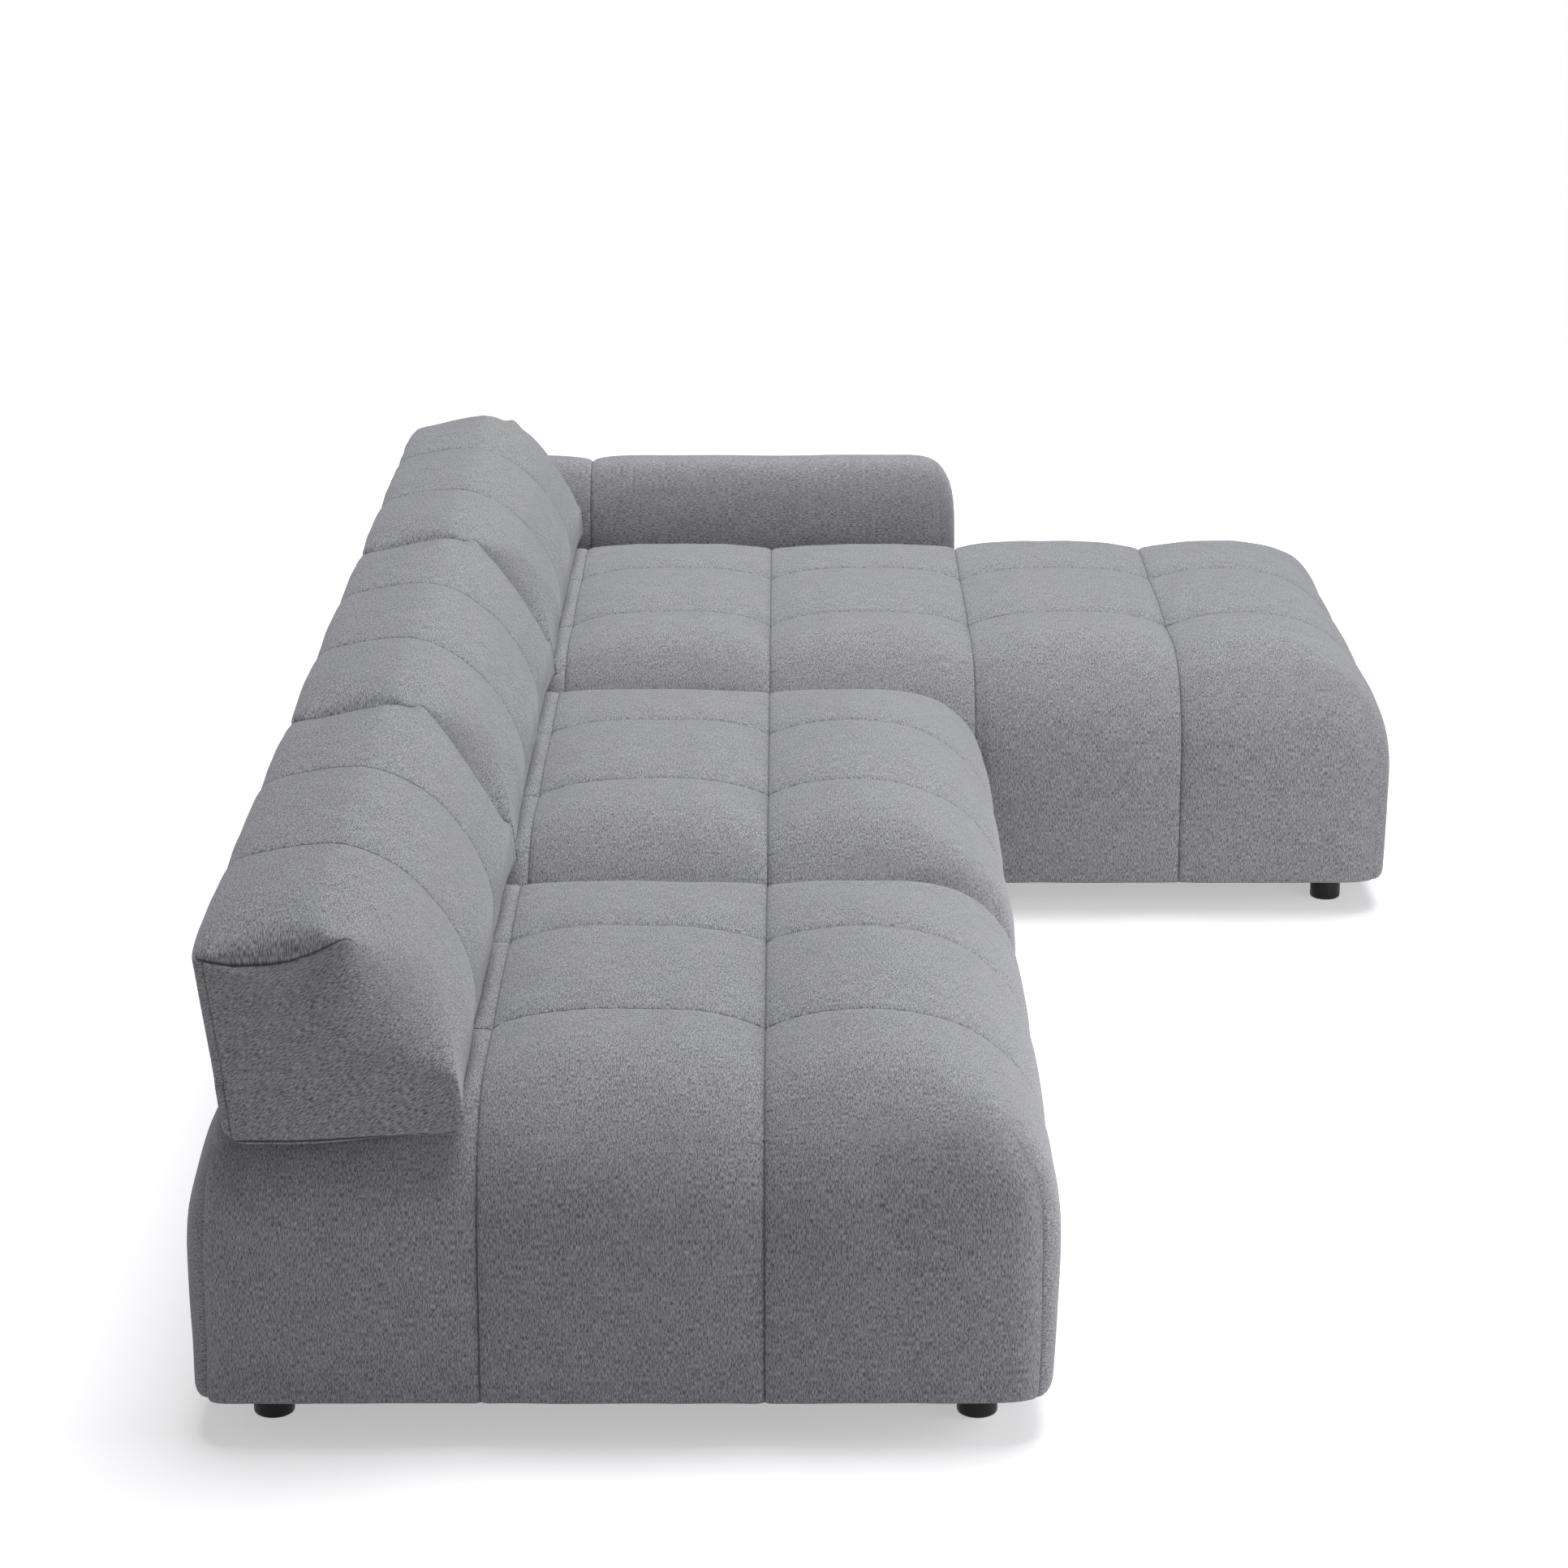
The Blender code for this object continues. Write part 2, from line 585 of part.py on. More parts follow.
# Backrests
def back_cover(name, parent, held_right, held_left):
    """The padded wedge. It leans back, and its top and front are one large rounding."""
    low = (BACK_REAR, 0, BACK_BOTTOM)
    high = (BACK_FRONT, MODULE_WIDTH, BACK_BOTTOM + BACK_HEIGHT)
    across = lines_of(
        0, PANEL_WIDTH, PANELS_ACROSS, BACK_END_LINE_SHARES[:1], MIDDLE_LINE_SHARES,
        [1 - BACK_END_LINE_SHARES[0]],
    )
    forward = [BACK_REAR + share * (BACK_FRONT - BACK_REAR) for share in BACK_DEPTH_LINE_SHARES]
    upward = [BACK_BOTTOM + share * BACK_HEIGHT for share in BACK_HEIGHT_LINE_SHARES]
    creases = [(1, {1: panel * PANEL_WIDTH}, high[2]) for panel in range(1, PANELS_ACROSS)]
    creases += [(1, {0: low[0], 1: y}, high[2]) for y in (low[1], high[1])]
    creases += [(HEM_CREASE, {2: BACK_BOTTOM}, high[2]), (HEM_CREASE, {0: low[0], 2: high[2]}, high[2])]

    def shape(point):
        over = bump(point.y, 0, PANEL_WIDTH, PAD_POWER)
        height = (point.z - BACK_BOTTOM) / BACK_HEIGHT
        rise = min(1.0, 2 * height)
        crest = high[0] - BACK_FRONT_ROUND
        rear_of_crest = max(0.0, (crest - point.x) / (crest - low[0]))
        top_round = BACK_REAR_ROUND if rear_of_crest else BACK_TOP_ROUND
        moved, swell = softened(
            point, low, high, (BACK_REAR_ROUND, BACK_END_ROUND, 0),
            (BACK_FRONT_ROUND, BACK_END_ROUND, top_round),
            (0, 2), BACK_SECTION_POWER, BACK_END_POWER,
        )
        to_end = max(low[1] + BACK_END_ROUND - point.y, point.y - high[1] + BACK_END_ROUND, 0.0)
        fall = BACK_DROP * rear_of_crest**2 + BACK_END_DROP * to_end / BACK_END_ROUND
        front = BACK_CROWN * over * rise if swell.x > 0 else 0
        end = BACK_END_CROWN * rise * bump(point.x, BACK_REAR, BACK_FRONT - BACK_REAR, 2)
        top = BACK_CROWN * over * (1 - rear_of_crest**2) - fall * height
        moved += Vector((swell.x * front, swell.y * end, max(0.0, swell.z) * top))
        moved.x -= BACK_LEAN * (moved.z - BACK_BOTTOM) / BACK_HEIGHT
        if held_right:
            moved.y = max(moved.y, GAP / 2)
        if held_left:
            moved.y = min(moved.y, MODULE_WIDTH - GAP / 2)
        return tucked(moved, BACK_BOTTOM, low, high)

    cover = soft(name + "_cover", cage(name + "_cover", low, high, (forward, across, upward), creases, shape), parent)
    inside = boxes(name + "_pocket", [(
        (BACK_REAR + BACK_BOARD_REAR - GAP, BACK_BOARD_END - GAP, BACK_BOTTOM - OVERRUN),
        (
            BACK_FRONT - BACK_BOARD_FRONT + GAP, MODULE_WIDTH - BACK_BOARD_END + GAP,
            BOARD_BOTTOM + BACK_BOARD + GAP,
        ),
    )])
    join(cover, tool(name + "_pocket", inside, parent), "DIFFERENCE")


def back(name, parent, held_right, held_left):
    """One backrest: its cover, the board under the foam, and the steel bar with two tongues."""
    back_cover(name, parent, held_right, held_left)
    board = boxes(name + "_board", [(
        (BACK_REAR + BACK_BOARD_REAR, BACK_BOARD_END, BOARD_BOTTOM),
        (BACK_FRONT - BACK_BOARD_FRONT, MODULE_WIDTH - BACK_BOARD_END, BOARD_BOTTOM + BACK_BOARD),
    )])
    placed(name + "_board", board, parent, plywood)
    bar = placed(name + "_tongues", boxes(name + "_tongues", [(
        (TONGUE_X - BAR_WIDTH / 2, MODULE_WIDTH / 2 - BAR_LENGTH / 2, BACK_BOTTOM),
        (TONGUE_X + BAR_WIDTH / 2, MODULE_WIDTH / 2 + BAR_LENGTH / 2, BACK_BOTTOM + BAR),
    )]), parent, steel)
    blades = boxes(name + "_blades", [
        (
            (TONGUE_X - TONGUE / 2, side - TONGUE_WIDTH / 2, SHELF_HEIGHT - TONGUE_REACH),
            (TONGUE_X + TONGUE / 2, side + TONGUE_WIDTH / 2, BACK_BOTTOM + BAR / 2),
        )
        for side in TONGUE_SIDES
    ])
    join(bar, tool(name + "_blades", blades, parent), "UNION")


# Armrest
def arm_cover(name, parent):
    low = (0, 0, BASE_BOTTOM)
    high = (SEAT_DEPTH, ARM_WIDTH, ARM_HEIGHT)
    forward = lines_of(
        0, PANEL_DEPTH, SEAT_PANELS, ARM_END_LINE_SHARES, ARM_LONG_LINE_SHARES,
        [1 - share for share in ARM_END_LINE_SHARES],
    )
    forward.remove(2 * PANEL_DEPTH)
    across = [share * ARM_WIDTH for share in ARM_WIDTH_LINE_SHARES]
    upward = [BASE_BOTTOM + HEM_RISE] + [
        BASE_BOTTOM + share * (ARM_HEIGHT - BASE_BOTTOM) for share in ARM_HEIGHT_LINE_SHARES
    ]

    creases = [(1, {0: PANEL_DEPTH}, high[2]), (HEM_CREASE, {2: BASE_BOTTOM}, high[2])]
    creases += [(1, {0: x, 1: y}, upward[-1]) for x in (low[0], high[0]) for y in (low[1], high[1])]

    def shape(point):
        along = bump(point.x, PANEL_DEPTH, SEAT_DEPTH - PANEL_DEPTH, WIDE_POWER)
        if point.x < PANEL_DEPTH:
            along = bump(point.x, 0, PANEL_DEPTH, PAD_POWER)
        height = point.z
        moved, swell = softened(
            point, low, high, (ARM_END_ROUND, ARM_SIDE_ROUND, 0),
            (ARM_END_ROUND, ARM_SIDE_ROUND, ARM_TOP_ROUND),
            (1, 2), ARM_SECTION_POWER, ARM_END_POWER,
        )
        side = SIDE_CROWN * along * hem(height, BASE_BOTTOM)
        end = END_CROWN * hem(height, BASE_BOTTOM) * bump(point.y, 0, ARM_WIDTH, 2)
        moved += Vector((swell.x * end, swell.y * side, swell.z * ARM_CROWN * along))
        moved.y = max(moved.y, GAP / 2)
        return tucked(moved, BASE_BOTTOM, low, high)

    cover = soft(name, cage(name, low, high, (forward, across, upward), creases, shape), parent)
    inside = boxes(name + "_pocket", [(
        (SIDE_PADDING, ARM_PADDING, BASE_BOTTOM - OVERRUN),
        (SEAT_DEPTH - SIDE_PADDING, ARM_WIDTH - ARM_PADDING, ARM_HEIGHT - ARM_TOP_PADDING),
    )])
    join(cover, tool(name + "_pocket", inside, parent), "DIFFERENCE")


def arm_frame(name, centres, parent):
    """A box of boards, open below, with a solid block at each end for the foot's stud."""
    low = (RAIL_OUTSIDE, ARM_PADDING + GAP, BASE_BOTTOM)
    high = (SEAT_DEPTH - RAIL_OUTSIDE, ARM_WIDTH - ARM_PADDING - GAP, ARM_HEIGHT - ARM_TOP_PADDING - GAP)
    frame = placed(name, boxes(name, [(low, high)]), parent, plywood)
    hollow = boxes(name + "_hollow", [(
        (low[0] + ARM_END_BLOCK, low[1] + ARM_BOARD, low[2] - OVERRUN),
        (high[0] - ARM_END_BLOCK, high[1] - ARM_BOARD, high[2] - ARM_BOARD),
    )])
    join(frame, tool(name + "_hollow", hollow, parent), "DIFFERENCE")
    join(frame, stud_holes(name, centres, parent), "DIFFERENCE")


def arm(parent):
    feet = {
        "arm_foot_rear": (FOOT_FROM_END, ARM_WIDTH / 2),
        "arm_foot_front": (SEAT_DEPTH - FOOT_FROM_END, ARM_WIDTH / 2),
    }
    arm_cover("arm_cover", parent)
    arm_frame("arm_frame", feet.values(), parent)
    for name, (x, y) in feet.items():
        foot(name, x, y, parent)


# Links
def link(name, x, parent):
    """A steel plate bolted up into two neighbours, from below, across the line between them."""
    low = (x - LINK_WIDTH / 2, -LINK_LENGTH / 2, FOOT_HEIGHT - LINK)
    high = (x + LINK_WIDTH / 2, LINK_LENGTH / 2, FOOT_HEIGHT)
    plate = placed(name, boxes(name, [(low, high)]), parent, steel)
    bases = [(x, share * LINK_LENGTH, low[2] - BOLT_HEAD) for share in BOLT_SHARES]
    heads = rods(name + "_bolts", bases, BOLT_HEAD + LINK / 2, BOLT_RADIUS, BOLT_SIDES)
    join(plate, tool(name + "_bolts", heads, parent), "UNION")


# The sofa
layout = empty("corner_sofa_layout", (0, 0, 0))
end_place = empty("end_seat_place", (0, 0, 0), layout)
middle_place = empty("middle_seat_place", (0, MODULE_WIDTH, 0), layout)
chaise_place = empty("chaise_place", (0, 2 * MODULE_WIDTH, 0), layout)
arm_place = empty("arm_place", (0, 3 * MODULE_WIDTH, 0), layout)

neighbour_reach = SEAT_DEPTH + END_CROWN
seat("end_seat", end_place, SEAT_PANELS, STRAPS_SEAT, 0, neighbour_reach)
seat("middle_seat", middle_place, SEAT_PANELS, STRAPS_SEAT, neighbour_reach, neighbour_reach)
seat("chaise", chaise_place, CHAISE_PANELS, STRAPS_CHAISE, neighbour_reach, neighbour_reach)
arm(arm_place)

back("end_back", empty("end_back_slide", (0, 0, 0), end_place), False, True)
back("middle_back", empty("middle_back_slide", (0, 0, 0), middle_place), True, True)
back("chaise_back", empty("chaise_back_slide", (0, 0, 0), chaise_place), True, True)

for pair, place in (("end_middle", middle_place), ("middle_chaise", chaise_place), ("chaise_arm", arm_place)):
    link("link_" + pair + "_rear", LINK_FROM_REAR, place)
    link("link_" + pair + "_front", SEAT_DEPTH - LINK_FROM_FRONT, place)

# The middle of the footprint becomes the origin
bpy.context.view_layer.update()
depsgraph = bpy.context.evaluated_depsgraph_get()
corners = [
    made.matrix_world @ Vector(corner)
    for made in sofa.objects if made.type == "MESH"
    for corner in made.evaluated_get(depsgraph).bound_box
]
for axis in (0, 1):
    along = [corner[axis] for corner in corners]
    layout.location[axis] = -(min(along) + max(along)) / 2
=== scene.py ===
"""Corner sofa: three quilted seat modules in a row, the last one a chaise, with three wedge
backrests plugged into them and one armrest. All is in metres, in the CAD model's frame:
the rear is towards -X, the free end towards -Y, and someone who sits on it has +Y on the left.
"""
import math

import bpy
import numpy as np
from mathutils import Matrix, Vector


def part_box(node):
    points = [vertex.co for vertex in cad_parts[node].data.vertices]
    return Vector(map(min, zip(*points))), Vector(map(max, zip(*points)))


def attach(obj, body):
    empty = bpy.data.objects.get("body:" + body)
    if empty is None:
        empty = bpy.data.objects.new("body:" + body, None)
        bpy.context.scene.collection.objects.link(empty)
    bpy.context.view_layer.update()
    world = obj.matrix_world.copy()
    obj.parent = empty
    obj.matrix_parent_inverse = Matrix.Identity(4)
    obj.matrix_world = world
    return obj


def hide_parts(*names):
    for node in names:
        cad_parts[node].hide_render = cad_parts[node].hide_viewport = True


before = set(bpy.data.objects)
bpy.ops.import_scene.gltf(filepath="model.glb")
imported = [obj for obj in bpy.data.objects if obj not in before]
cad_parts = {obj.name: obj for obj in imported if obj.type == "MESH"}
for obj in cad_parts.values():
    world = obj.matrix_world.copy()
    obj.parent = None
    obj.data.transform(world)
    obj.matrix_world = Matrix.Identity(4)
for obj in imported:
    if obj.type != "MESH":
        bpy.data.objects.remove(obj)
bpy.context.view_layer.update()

# Floor, light and camera. The sofa stands on a plain white studio floor in soft, level light:
# a broad light overhead, weak ones from the camera's side and from behind, and three soft
# boxes, in front of the near seat, above the row and beyond the chaise.
FLOOR_COLOUR = (0.71, 0.70, 0.72)
FLOOR_SEEN = ((0.98, 0.97, 1.0), 0.45)  # colour and own brightness where the camera sees it
FLOOR_ROUGHNESS = 0.9
FLOOR_REACH = 60.0
SKY_COLOUR = (0.985, 0.98, 1.0)
SKY_STRENGTH = 0.05
# name: (height over the horizon, compass bearing it comes from, spread, strength)
SUNS = {
    "overhead_light": (79, 30, 30, 1.48),
    "camera_light": (10, 180, 60, 0.31),
    "rear_left_light": (35, 250, 60, 0.15),
}
# name: (place, what it points at, width, watts)
SOFTBOXES = {
    "front_softbox": ((2.2, -1.65, 0.9), (0.3, -1.0, 0.3), 1.3, 24.0),
    "top_softbox": ((0.8, -0.1, 2.6), (-0.5, -0.1, 0.5), 2.0, 13.5),
    "rear_softbox": ((0.3, 3.5, 2.6), (0.2, 0.6, 0.3), 2.0, 48.0),
}
CAMERA_PLACE = (-0.14904, -6.1833, 2.1637)
CAMERA_PITCH = 16.402
CAMERA_LENS = 95.134
SENSOR_WIDTH = 36.0


def material_nodes(name):
    """A new node material, its tree, and its shader, which already feeds the output."""
    made = bpy.data.materials.new(name)
    made.use_nodes = True
    return made, made.node_tree, made.node_tree.nodes["Principled BSDF"]


def feed(tree, node, inputs):
    """Sets each input of a node to its value, or links it where that is a node's socket."""
    for label, value in inputs.items():
        if isinstance(value, bpy.types.NodeSocket):
            tree.links.new(value, node.inputs[label])
        else:
            node.inputs[label].default_value = value


def added(tree, kind, inputs, **settings):
    """A new node of a material's tree, with its settings made before its inputs."""
    node = tree.nodes.new("ShaderNode" + kind)
    for label, value in settings.items():
        setattr(node, label, value)
    feed(tree, node, inputs)
    return node


def placed(name, data):
    """A new object of the scene that holds the data."""
    made = bpy.data.objects.new(name, data)
    bpy.context.scene.collection.objects.link(made)
    return made


floor_paint, tree, shader = material_nodes("studio_floor_white")
feed(tree, shader, {
    "Base Color": (*FLOOR_COLOUR, 1), "Roughness": FLOOR_ROUGHNESS, "Specular IOR Level": 0.0,
})
seen_colour = added(tree, "BsdfDiffuse", {"Color": (*FLOOR_SEEN[0], 1)})
seen_glow = added(tree, "Emission", {"Strength": FLOOR_SEEN[1]})
seen_floor = added(tree, "AddShader", {0: seen_colour.outputs[0], 1: seen_glow.outputs[0]})
rays = added(tree, "LightPath", {}).outputs
seen_ray = rays["Is Camera Ray"]
for other_ray in ("Is Glossy Ray", "Is Transmission Ray"):
    either = added(tree, "Math", {0: seen_ray, 1: rays[other_ray]}, operation="MAXIMUM")
    seen_ray = either.outputs[0]
floor_mix = added(tree, "MixShader", {
    0: seen_ray, 1: shader.outputs[0], 2: seen_floor.outputs[0],
})
feed(tree, tree.nodes["Material Output"], {"Surface": floor_mix.outputs[0]})
floor_mesh = bpy.data.meshes.new("studio_floor")
floor_corners = ((-1, -1), (1, -1), (1, 1), (-1, 1))
floor_mesh.from_pydata(
    [(x * FLOOR_REACH, y * FLOOR_REACH, 0) for x, y in floor_corners], [], [(0, 1, 2, 3)]
)
floor_mesh.materials.append(floor_paint)
floor = placed("studio_floor", floor_mesh)

world = bpy.data.worlds.new("studio")
world.use_nodes = True
feed(world.node_tree, world.node_tree.nodes["Background"], {
    "Color": (*SKY_COLOUR, 1), "Strength": SKY_STRENGTH,
})
bpy.context.scene.world = world

for lamp_name, (height, bearing, spread, strength) in SUNS.items():
    lamp = bpy.data.lights.new(lamp_name, "SUN")
    lamp.energy = strength
    lamp.angle = math.radians(spread)
    lamp_object = placed(lamp_name, lamp)
    lamp_object.rotation_euler = (math.radians(90 - height), 0, math.radians(180 - bearing))
for lamp_name, (place, aim, width, watts) in SOFTBOXES.items():
    lamp = bpy.data.lights.new(lamp_name, "AREA")
    lamp.energy = watts
    lamp.size = width
    lamp_object = placed(lamp_name, lamp)
    lamp_object.location = place
    heading = Vector(aim) - Vector(place)
    lamp_object.rotation_euler = heading.to_track_quat("-Z", "Y").to_euler()

camera_data = bpy.data.cameras.new("camera")
camera_data.lens = CAMERA_LENS
camera_data.sensor_width = SENSOR_WIDTH
camera = placed("camera", camera_data)
camera.location = CAMERA_PLACE
camera.rotation_euler = (math.radians(90 - CAMERA_PITCH), 0, 0)
bpy.context.scene.camera = camera
bpy.context.scene.view_settings.view_transform = "Standard"

# Seat modules. Each is a block of foam turned over its timber frame, in one quilted cover of
# grey melange cloth: deep sewn valleys run across the sofa's depth line, thin stitched lines
# run over the pads, and a dart closes each upright corner. The last module is the chaise.
MODULE_WIDTH = 1.020
PANEL_DEPTH = 0.340
PANEL_WIDTH = MODULE_WIDTH / 3
LINES = (PANEL_WIDTH, 2 * PANEL_WIDTH)  # where the stitched lines run
DUST_COVER_INSET = 0.0453
SEAT_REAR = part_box("end_seat_dust_cover")[0].x - DUST_COVER_INSET
SEAT_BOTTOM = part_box("end_seat_dust_cover")[0].z
SEAM_HEIGHT = 0.4135
SHELF_HEIGHT = 0.392
SHELF_RISE = (0.160, 0.3195, 0.0205)  # from where, to where and how far its front rises
SHELF_LIP = (0.312, 0.326)  # where its front goes over into the pads
FOOT_POWER = 1.65  # of the arc along which the shelf rises and a backrest's foot with it
SEAT_OVERHANG = {"rear": 0.010, "front": 0.009, "side": 0.004}
SEAT_ROUND_LOW = np.array((0.090, 0.210, 0.0))  # width of the roundings: rear, right, bottom
SEAT_ROUND_HIGH = np.array((0.240, 0.150, 0.190))  # and front, left, top
SEAT_PLAN_POWER = 9
SEAT_TOP_POWER = 2.5
END_POWER_CHANGE = (-0.1, -0.4)  # of the power over the top, at the front and at the rear
SEAT_CROWN = 0.0265
REAR_CROWN_SHARE = 0.45
STITCH_CROWN = 0.006
SIDE_CROWN = 0.016
FRONT_CROWN = 0.007
VALLEY_PAD = 3  # power of the swell between valleys, between stitched lines and of a whole side
LINE_PAD = 2.4
WHOLE_PAD = 8
SWELL_HEIGHT = 0.20
# How far the pads come down in the middle and on the right, as a share of the crown, from
# where to where; where they come down on the left, and where that share changes
MIDDLE_FALL = (0.16, 0.42, 0.68)
RIGHT_FALL = (0.25, -0.22, -0.02)  # its places counted backwards
LEFT_FALL = (0.70, 0.95)
LEFT_FALL_CHANGE = (0.95, 1.10)
SEAT_UNEVENNESS = 0.0011
SEAT_PUCKERS = (0.0007, 0.021)  # height and length of the small waves beside a seam
# How a sewn line draws the cloth in, or puckers it: depth and reach of each fall from it
SEAT_VALLEY_CUT = ((0.0042, 0.0035),)
SEAT_LINE_CUT = ((0.0021, 0.0028), (0.0016, 0.012), (0.0022, 0.035))
SEAT_DART_CUT = ((0.0018, 0.003), (0.003, 0.030))
VALLEY_PULL = (1.0, 0.012)
LINE_PULL = (0.7, 0.010)
SEAT_DART_HEIGHT = (0.27, 0.40)  # over which a dart fades out
DART_SHADE_FADE = (0.0007, 0.004)  # how much fainter the shade painted along a dart is, and more where it ends
REAR_CORNER = (0.013, 0.075, 0.05)  # how far forwards, and its reach behind and beside
REAR_LEAN = (0.0035, 0.0060, 0.06)  # forwards, more of it higher up, and its reach
REAR_LEAN_HEIGHT = (0.27, 0.37)
REAR_LEAN_START = 0.08
HEM_ROUND = (0.006, 0.013)
HEM_WAVES = (0.0012, 0.03)
POCKET_WALL = 0.045
POCKET_CEILING = 0.2585
SOCKETS = (0.36, 0.66)  # middles of the slots over the socket tubes
SLOT_HALF = 0.0235
SLOT_ROOM = 0.001
CLEARANCE = 0.00015
EDGE = 1e-6
SEAT_CELL = 0.011
LEAST_CELL = 0.0025
SEAT_SEED = 40
# Melange cloth: linear colours of its threads, and of its stitches, which is also painted as
# shade along the sewn valleys, darts and seams; width and length of one fleck, and the widths
# of one thread and one stitch
DARK_THREAD = (0.152, 0.153, 0.165)
LIGHT_THREAD = (0.540, 0.543, 0.570)
# the stitches' colour, also painted as shade in the creases of the valleys, darts and seams
STITCH_AND_SEAM_SHADE = (0.055, 0.056, 0.062)
FLECK = (0.0011, 0.0060)
THREAD = 0.0006
STITCH = 0.0021


def away(place, marks):
    """Distance to the nearest of the marks."""
    return np.min(np.abs(place[:, None] - np.array(marks)[None, :]), axis=1)


def walls(marks, plain, step, fine=(0.0, 0.0011, 0.0023, 0.0040, 0.0065, 0.0100, 0.0150)):
    """Places of cell walls from the first mark to the last: a step apart, closer and closer
    towards each mark by the offsets in fine, with the plain places added as single walls."""
    found = []
    reach = fine[-1]
    for start, end in zip(marks[:-1], marks[1:]):
        count = max(1, int(np.ceil((end - start - 2 * reach) / step)))
        found += [start + offset for offset in fine[:-1]] + [end - offset for offset in fine[:-1]]
        found += list(np.linspace(start + reach, end - reach, count + 1))
    found = np.array(found)
    kept = (away(found, marks) < 1e-9) | (away(found, plain) > LEAST_CELL)
    return np.unique(np.concatenate([found[kept], plain]).round(7))


def block_skin(lines, hollows):
    """The skin of a block of cells with some cells left empty: one four-sided face wherever a
    full cell meets an empty one, turned outwards. Returns the points, the faces, and each
    face's axis and direction."""
    counts = [len(line) for line in lines]
    full = np.zeros([count + 1 for count in counts], bool)
    full[1:-1, 1:-1, 1:-1] = True
    for low, high in hollows:
        span = []
        for line, start, end in zip(lines, low, high):
            first, last = np.searchsorted(line, (start - EDGE, end - EDGE))
            span.append(slice(int(first) + 1, int(last) + 1))
        full[tuple(span)] = False
    numbers = np.arange(np.prod(counts)).reshape(counts)
    faces, sides = [], []
    for axis in range(3):
        first, second = (axis + 1) % 3, (axis + 2) % 3
        cells = np.moveaxis(full, (axis, first, second), (0, 1, 2))
        corner = np.moveaxis(numbers, (axis, first, second), (0, 1, 2))
        before, after = cells[:-1, 1:-1, 1:-1], cells[1:, 1:-1, 1:-1]
        for towards in (1, -1):
            wall, row, column = np.nonzero(before & ~after if towards > 0 else after & ~before)
            ring = [corner[wall, row, column], corner[wall, row + 1, column],
                    corner[wall, row + 1, column + 1], corner[wall, row, column + 1]]
            faces.append(np.stack(ring[::towards], axis=1))
            sides.append(np.tile((axis, towards), (len(wall), 1)))
    faces, sides = np.concatenate(faces), np.concatenate(sides)
    used, faces = np.unique(faces, return_inverse=True)
    faces = faces.reshape(-1, 4)
    spots = np.unravel_index(used, counts)
    return np.stack([line[spot] for line, spot in zip(lines, spots)], axis=1), faces, sides


def rounded(points, low, high, before, after, pair, pair_power, third_power):
    """Carries a box's skin onto a rounded box. Each point is split into the core that the
    roundings leave and its reach beyond it, in shares of the rounding; the reach of the two
    axes in pair is measured with one power and the third with another, and set to length 1.
    The third power is one number, or one for each point. Returns the points and the outward
    direction there."""
    core = np.clip(points, low + before, high - after)
    radius = np.where(points > core, after, before)
    reach = np.where(radius > 0, (points - core) / np.where(radius > 0, radius, 1), 0)
    first, second = pair
    third = 3 - first - second
    third_power = np.broadcast_to(third_power, len(points))
    together = np.abs(reach[:, first]) ** pair_power + np.abs(reach[:, second]) ** pair_power
    length = together ** (third_power / pair_power) + np.abs(reach[:, third]) ** third_power
    scale = np.where(length > 0, np.maximum(length, 1e-12) ** (-1 / third_power), 0)[:, None]
    size = np.linalg.norm(reach, axis=1, keepdims=True)
    return core + radius * reach * scale, reach / np.maximum(size, 1e-9)


def pad(place, width, power):
    """0 at every multiple of width and 1 midway: 1 less the distance from the middle, as a
    share, to the power given."""
    share = np.mod(place / width, 1.0)
    return 1 - np.abs(2 * share - 1) ** power


def ease(value, start, end):
    """0 before start, 1 after end, and a smooth rise between."""
    share = np.clip((value - start) / (end - start), 0, 1)
    return share * share * (3 - 2 * share)


def drift(points, seed, waves=7, shortest=0.07, longest=0.22):
    """The slight unevenness of stuffed cloth: seven plane waves in seeded directions, added
    and brought to between about -1 and 1."""
    draw = np.random.default_rng(seed)
    heading = draw.normal(size=(waves, 3))
    heading /= np.linalg.norm(heading, axis=1, keepdims=True)
    stride = draw.uniform(shortest, longest, waves)
    phase = draw.uniform(0, 2 * math.pi, waves)
    return np.sin(points @ heading.T * (2 * math.pi / stride) + phase).mean(axis=1) * 1.8


def groove(distance, *falls):
    """How far a sewn line draws the cloth in: a sum of exponential falls with distance, each
    with its depth and its reach."""
    return sum(depth * np.exp(-distance / reach) for depth, reach in falls)


def puckers(place, waves, points, seed):
    """Small waves along a place in metres, of a height and a length, shifted by a drift."""
    height, length = waves
    return height * np.sin(2 * math.pi * place / length + 3 * drift(points, seed, shortest=0.05))


def curl(share):
    """1 at 0 and 0 from 1 on, down along a quarter of a circle."""
    return 1 - np.sqrt(1 - np.clip(1 - share, 0, 1) ** 2)


def swelling(rise):
    """0 at a block's lower edge, 1 from the swell's height on, and a parabola between."""
    return 1 - np.clip(1 - rise / SWELL_HEIGHT, 0, 1) ** 2


def hem_turn(rise):
    """How far the cloth turns in towards its lower edge, along a quarter of an ellipse."""
    return HEM_ROUND[0] * curl(rise / HEM_ROUND[1])


def on_faces(points, low, high):
    """Whether each point is on a box's rear or front, on its sides, and on its top."""
    x, y, z = points.T
    on_end = (x < low[0] + EDGE) | (x > high[0] - EDGE)
    on_side = (y < low[1] + EDGE) | (y > high[1] - EDGE)
    return on_end, on_side, z > high[2] - EDGE


def from_corner(skin, low, high, on_end, on_top):
    """Level distance from a box's nearest upright corner on its walls, and 1 on its top."""
    x, y, _ = skin.T
    across, along = np.minimum(y - low[1], high[1] - y), np.minimum(x - low[0], high[0] - x)
    return np.where(on_top, 1.0, np.where(on_end, across, along))


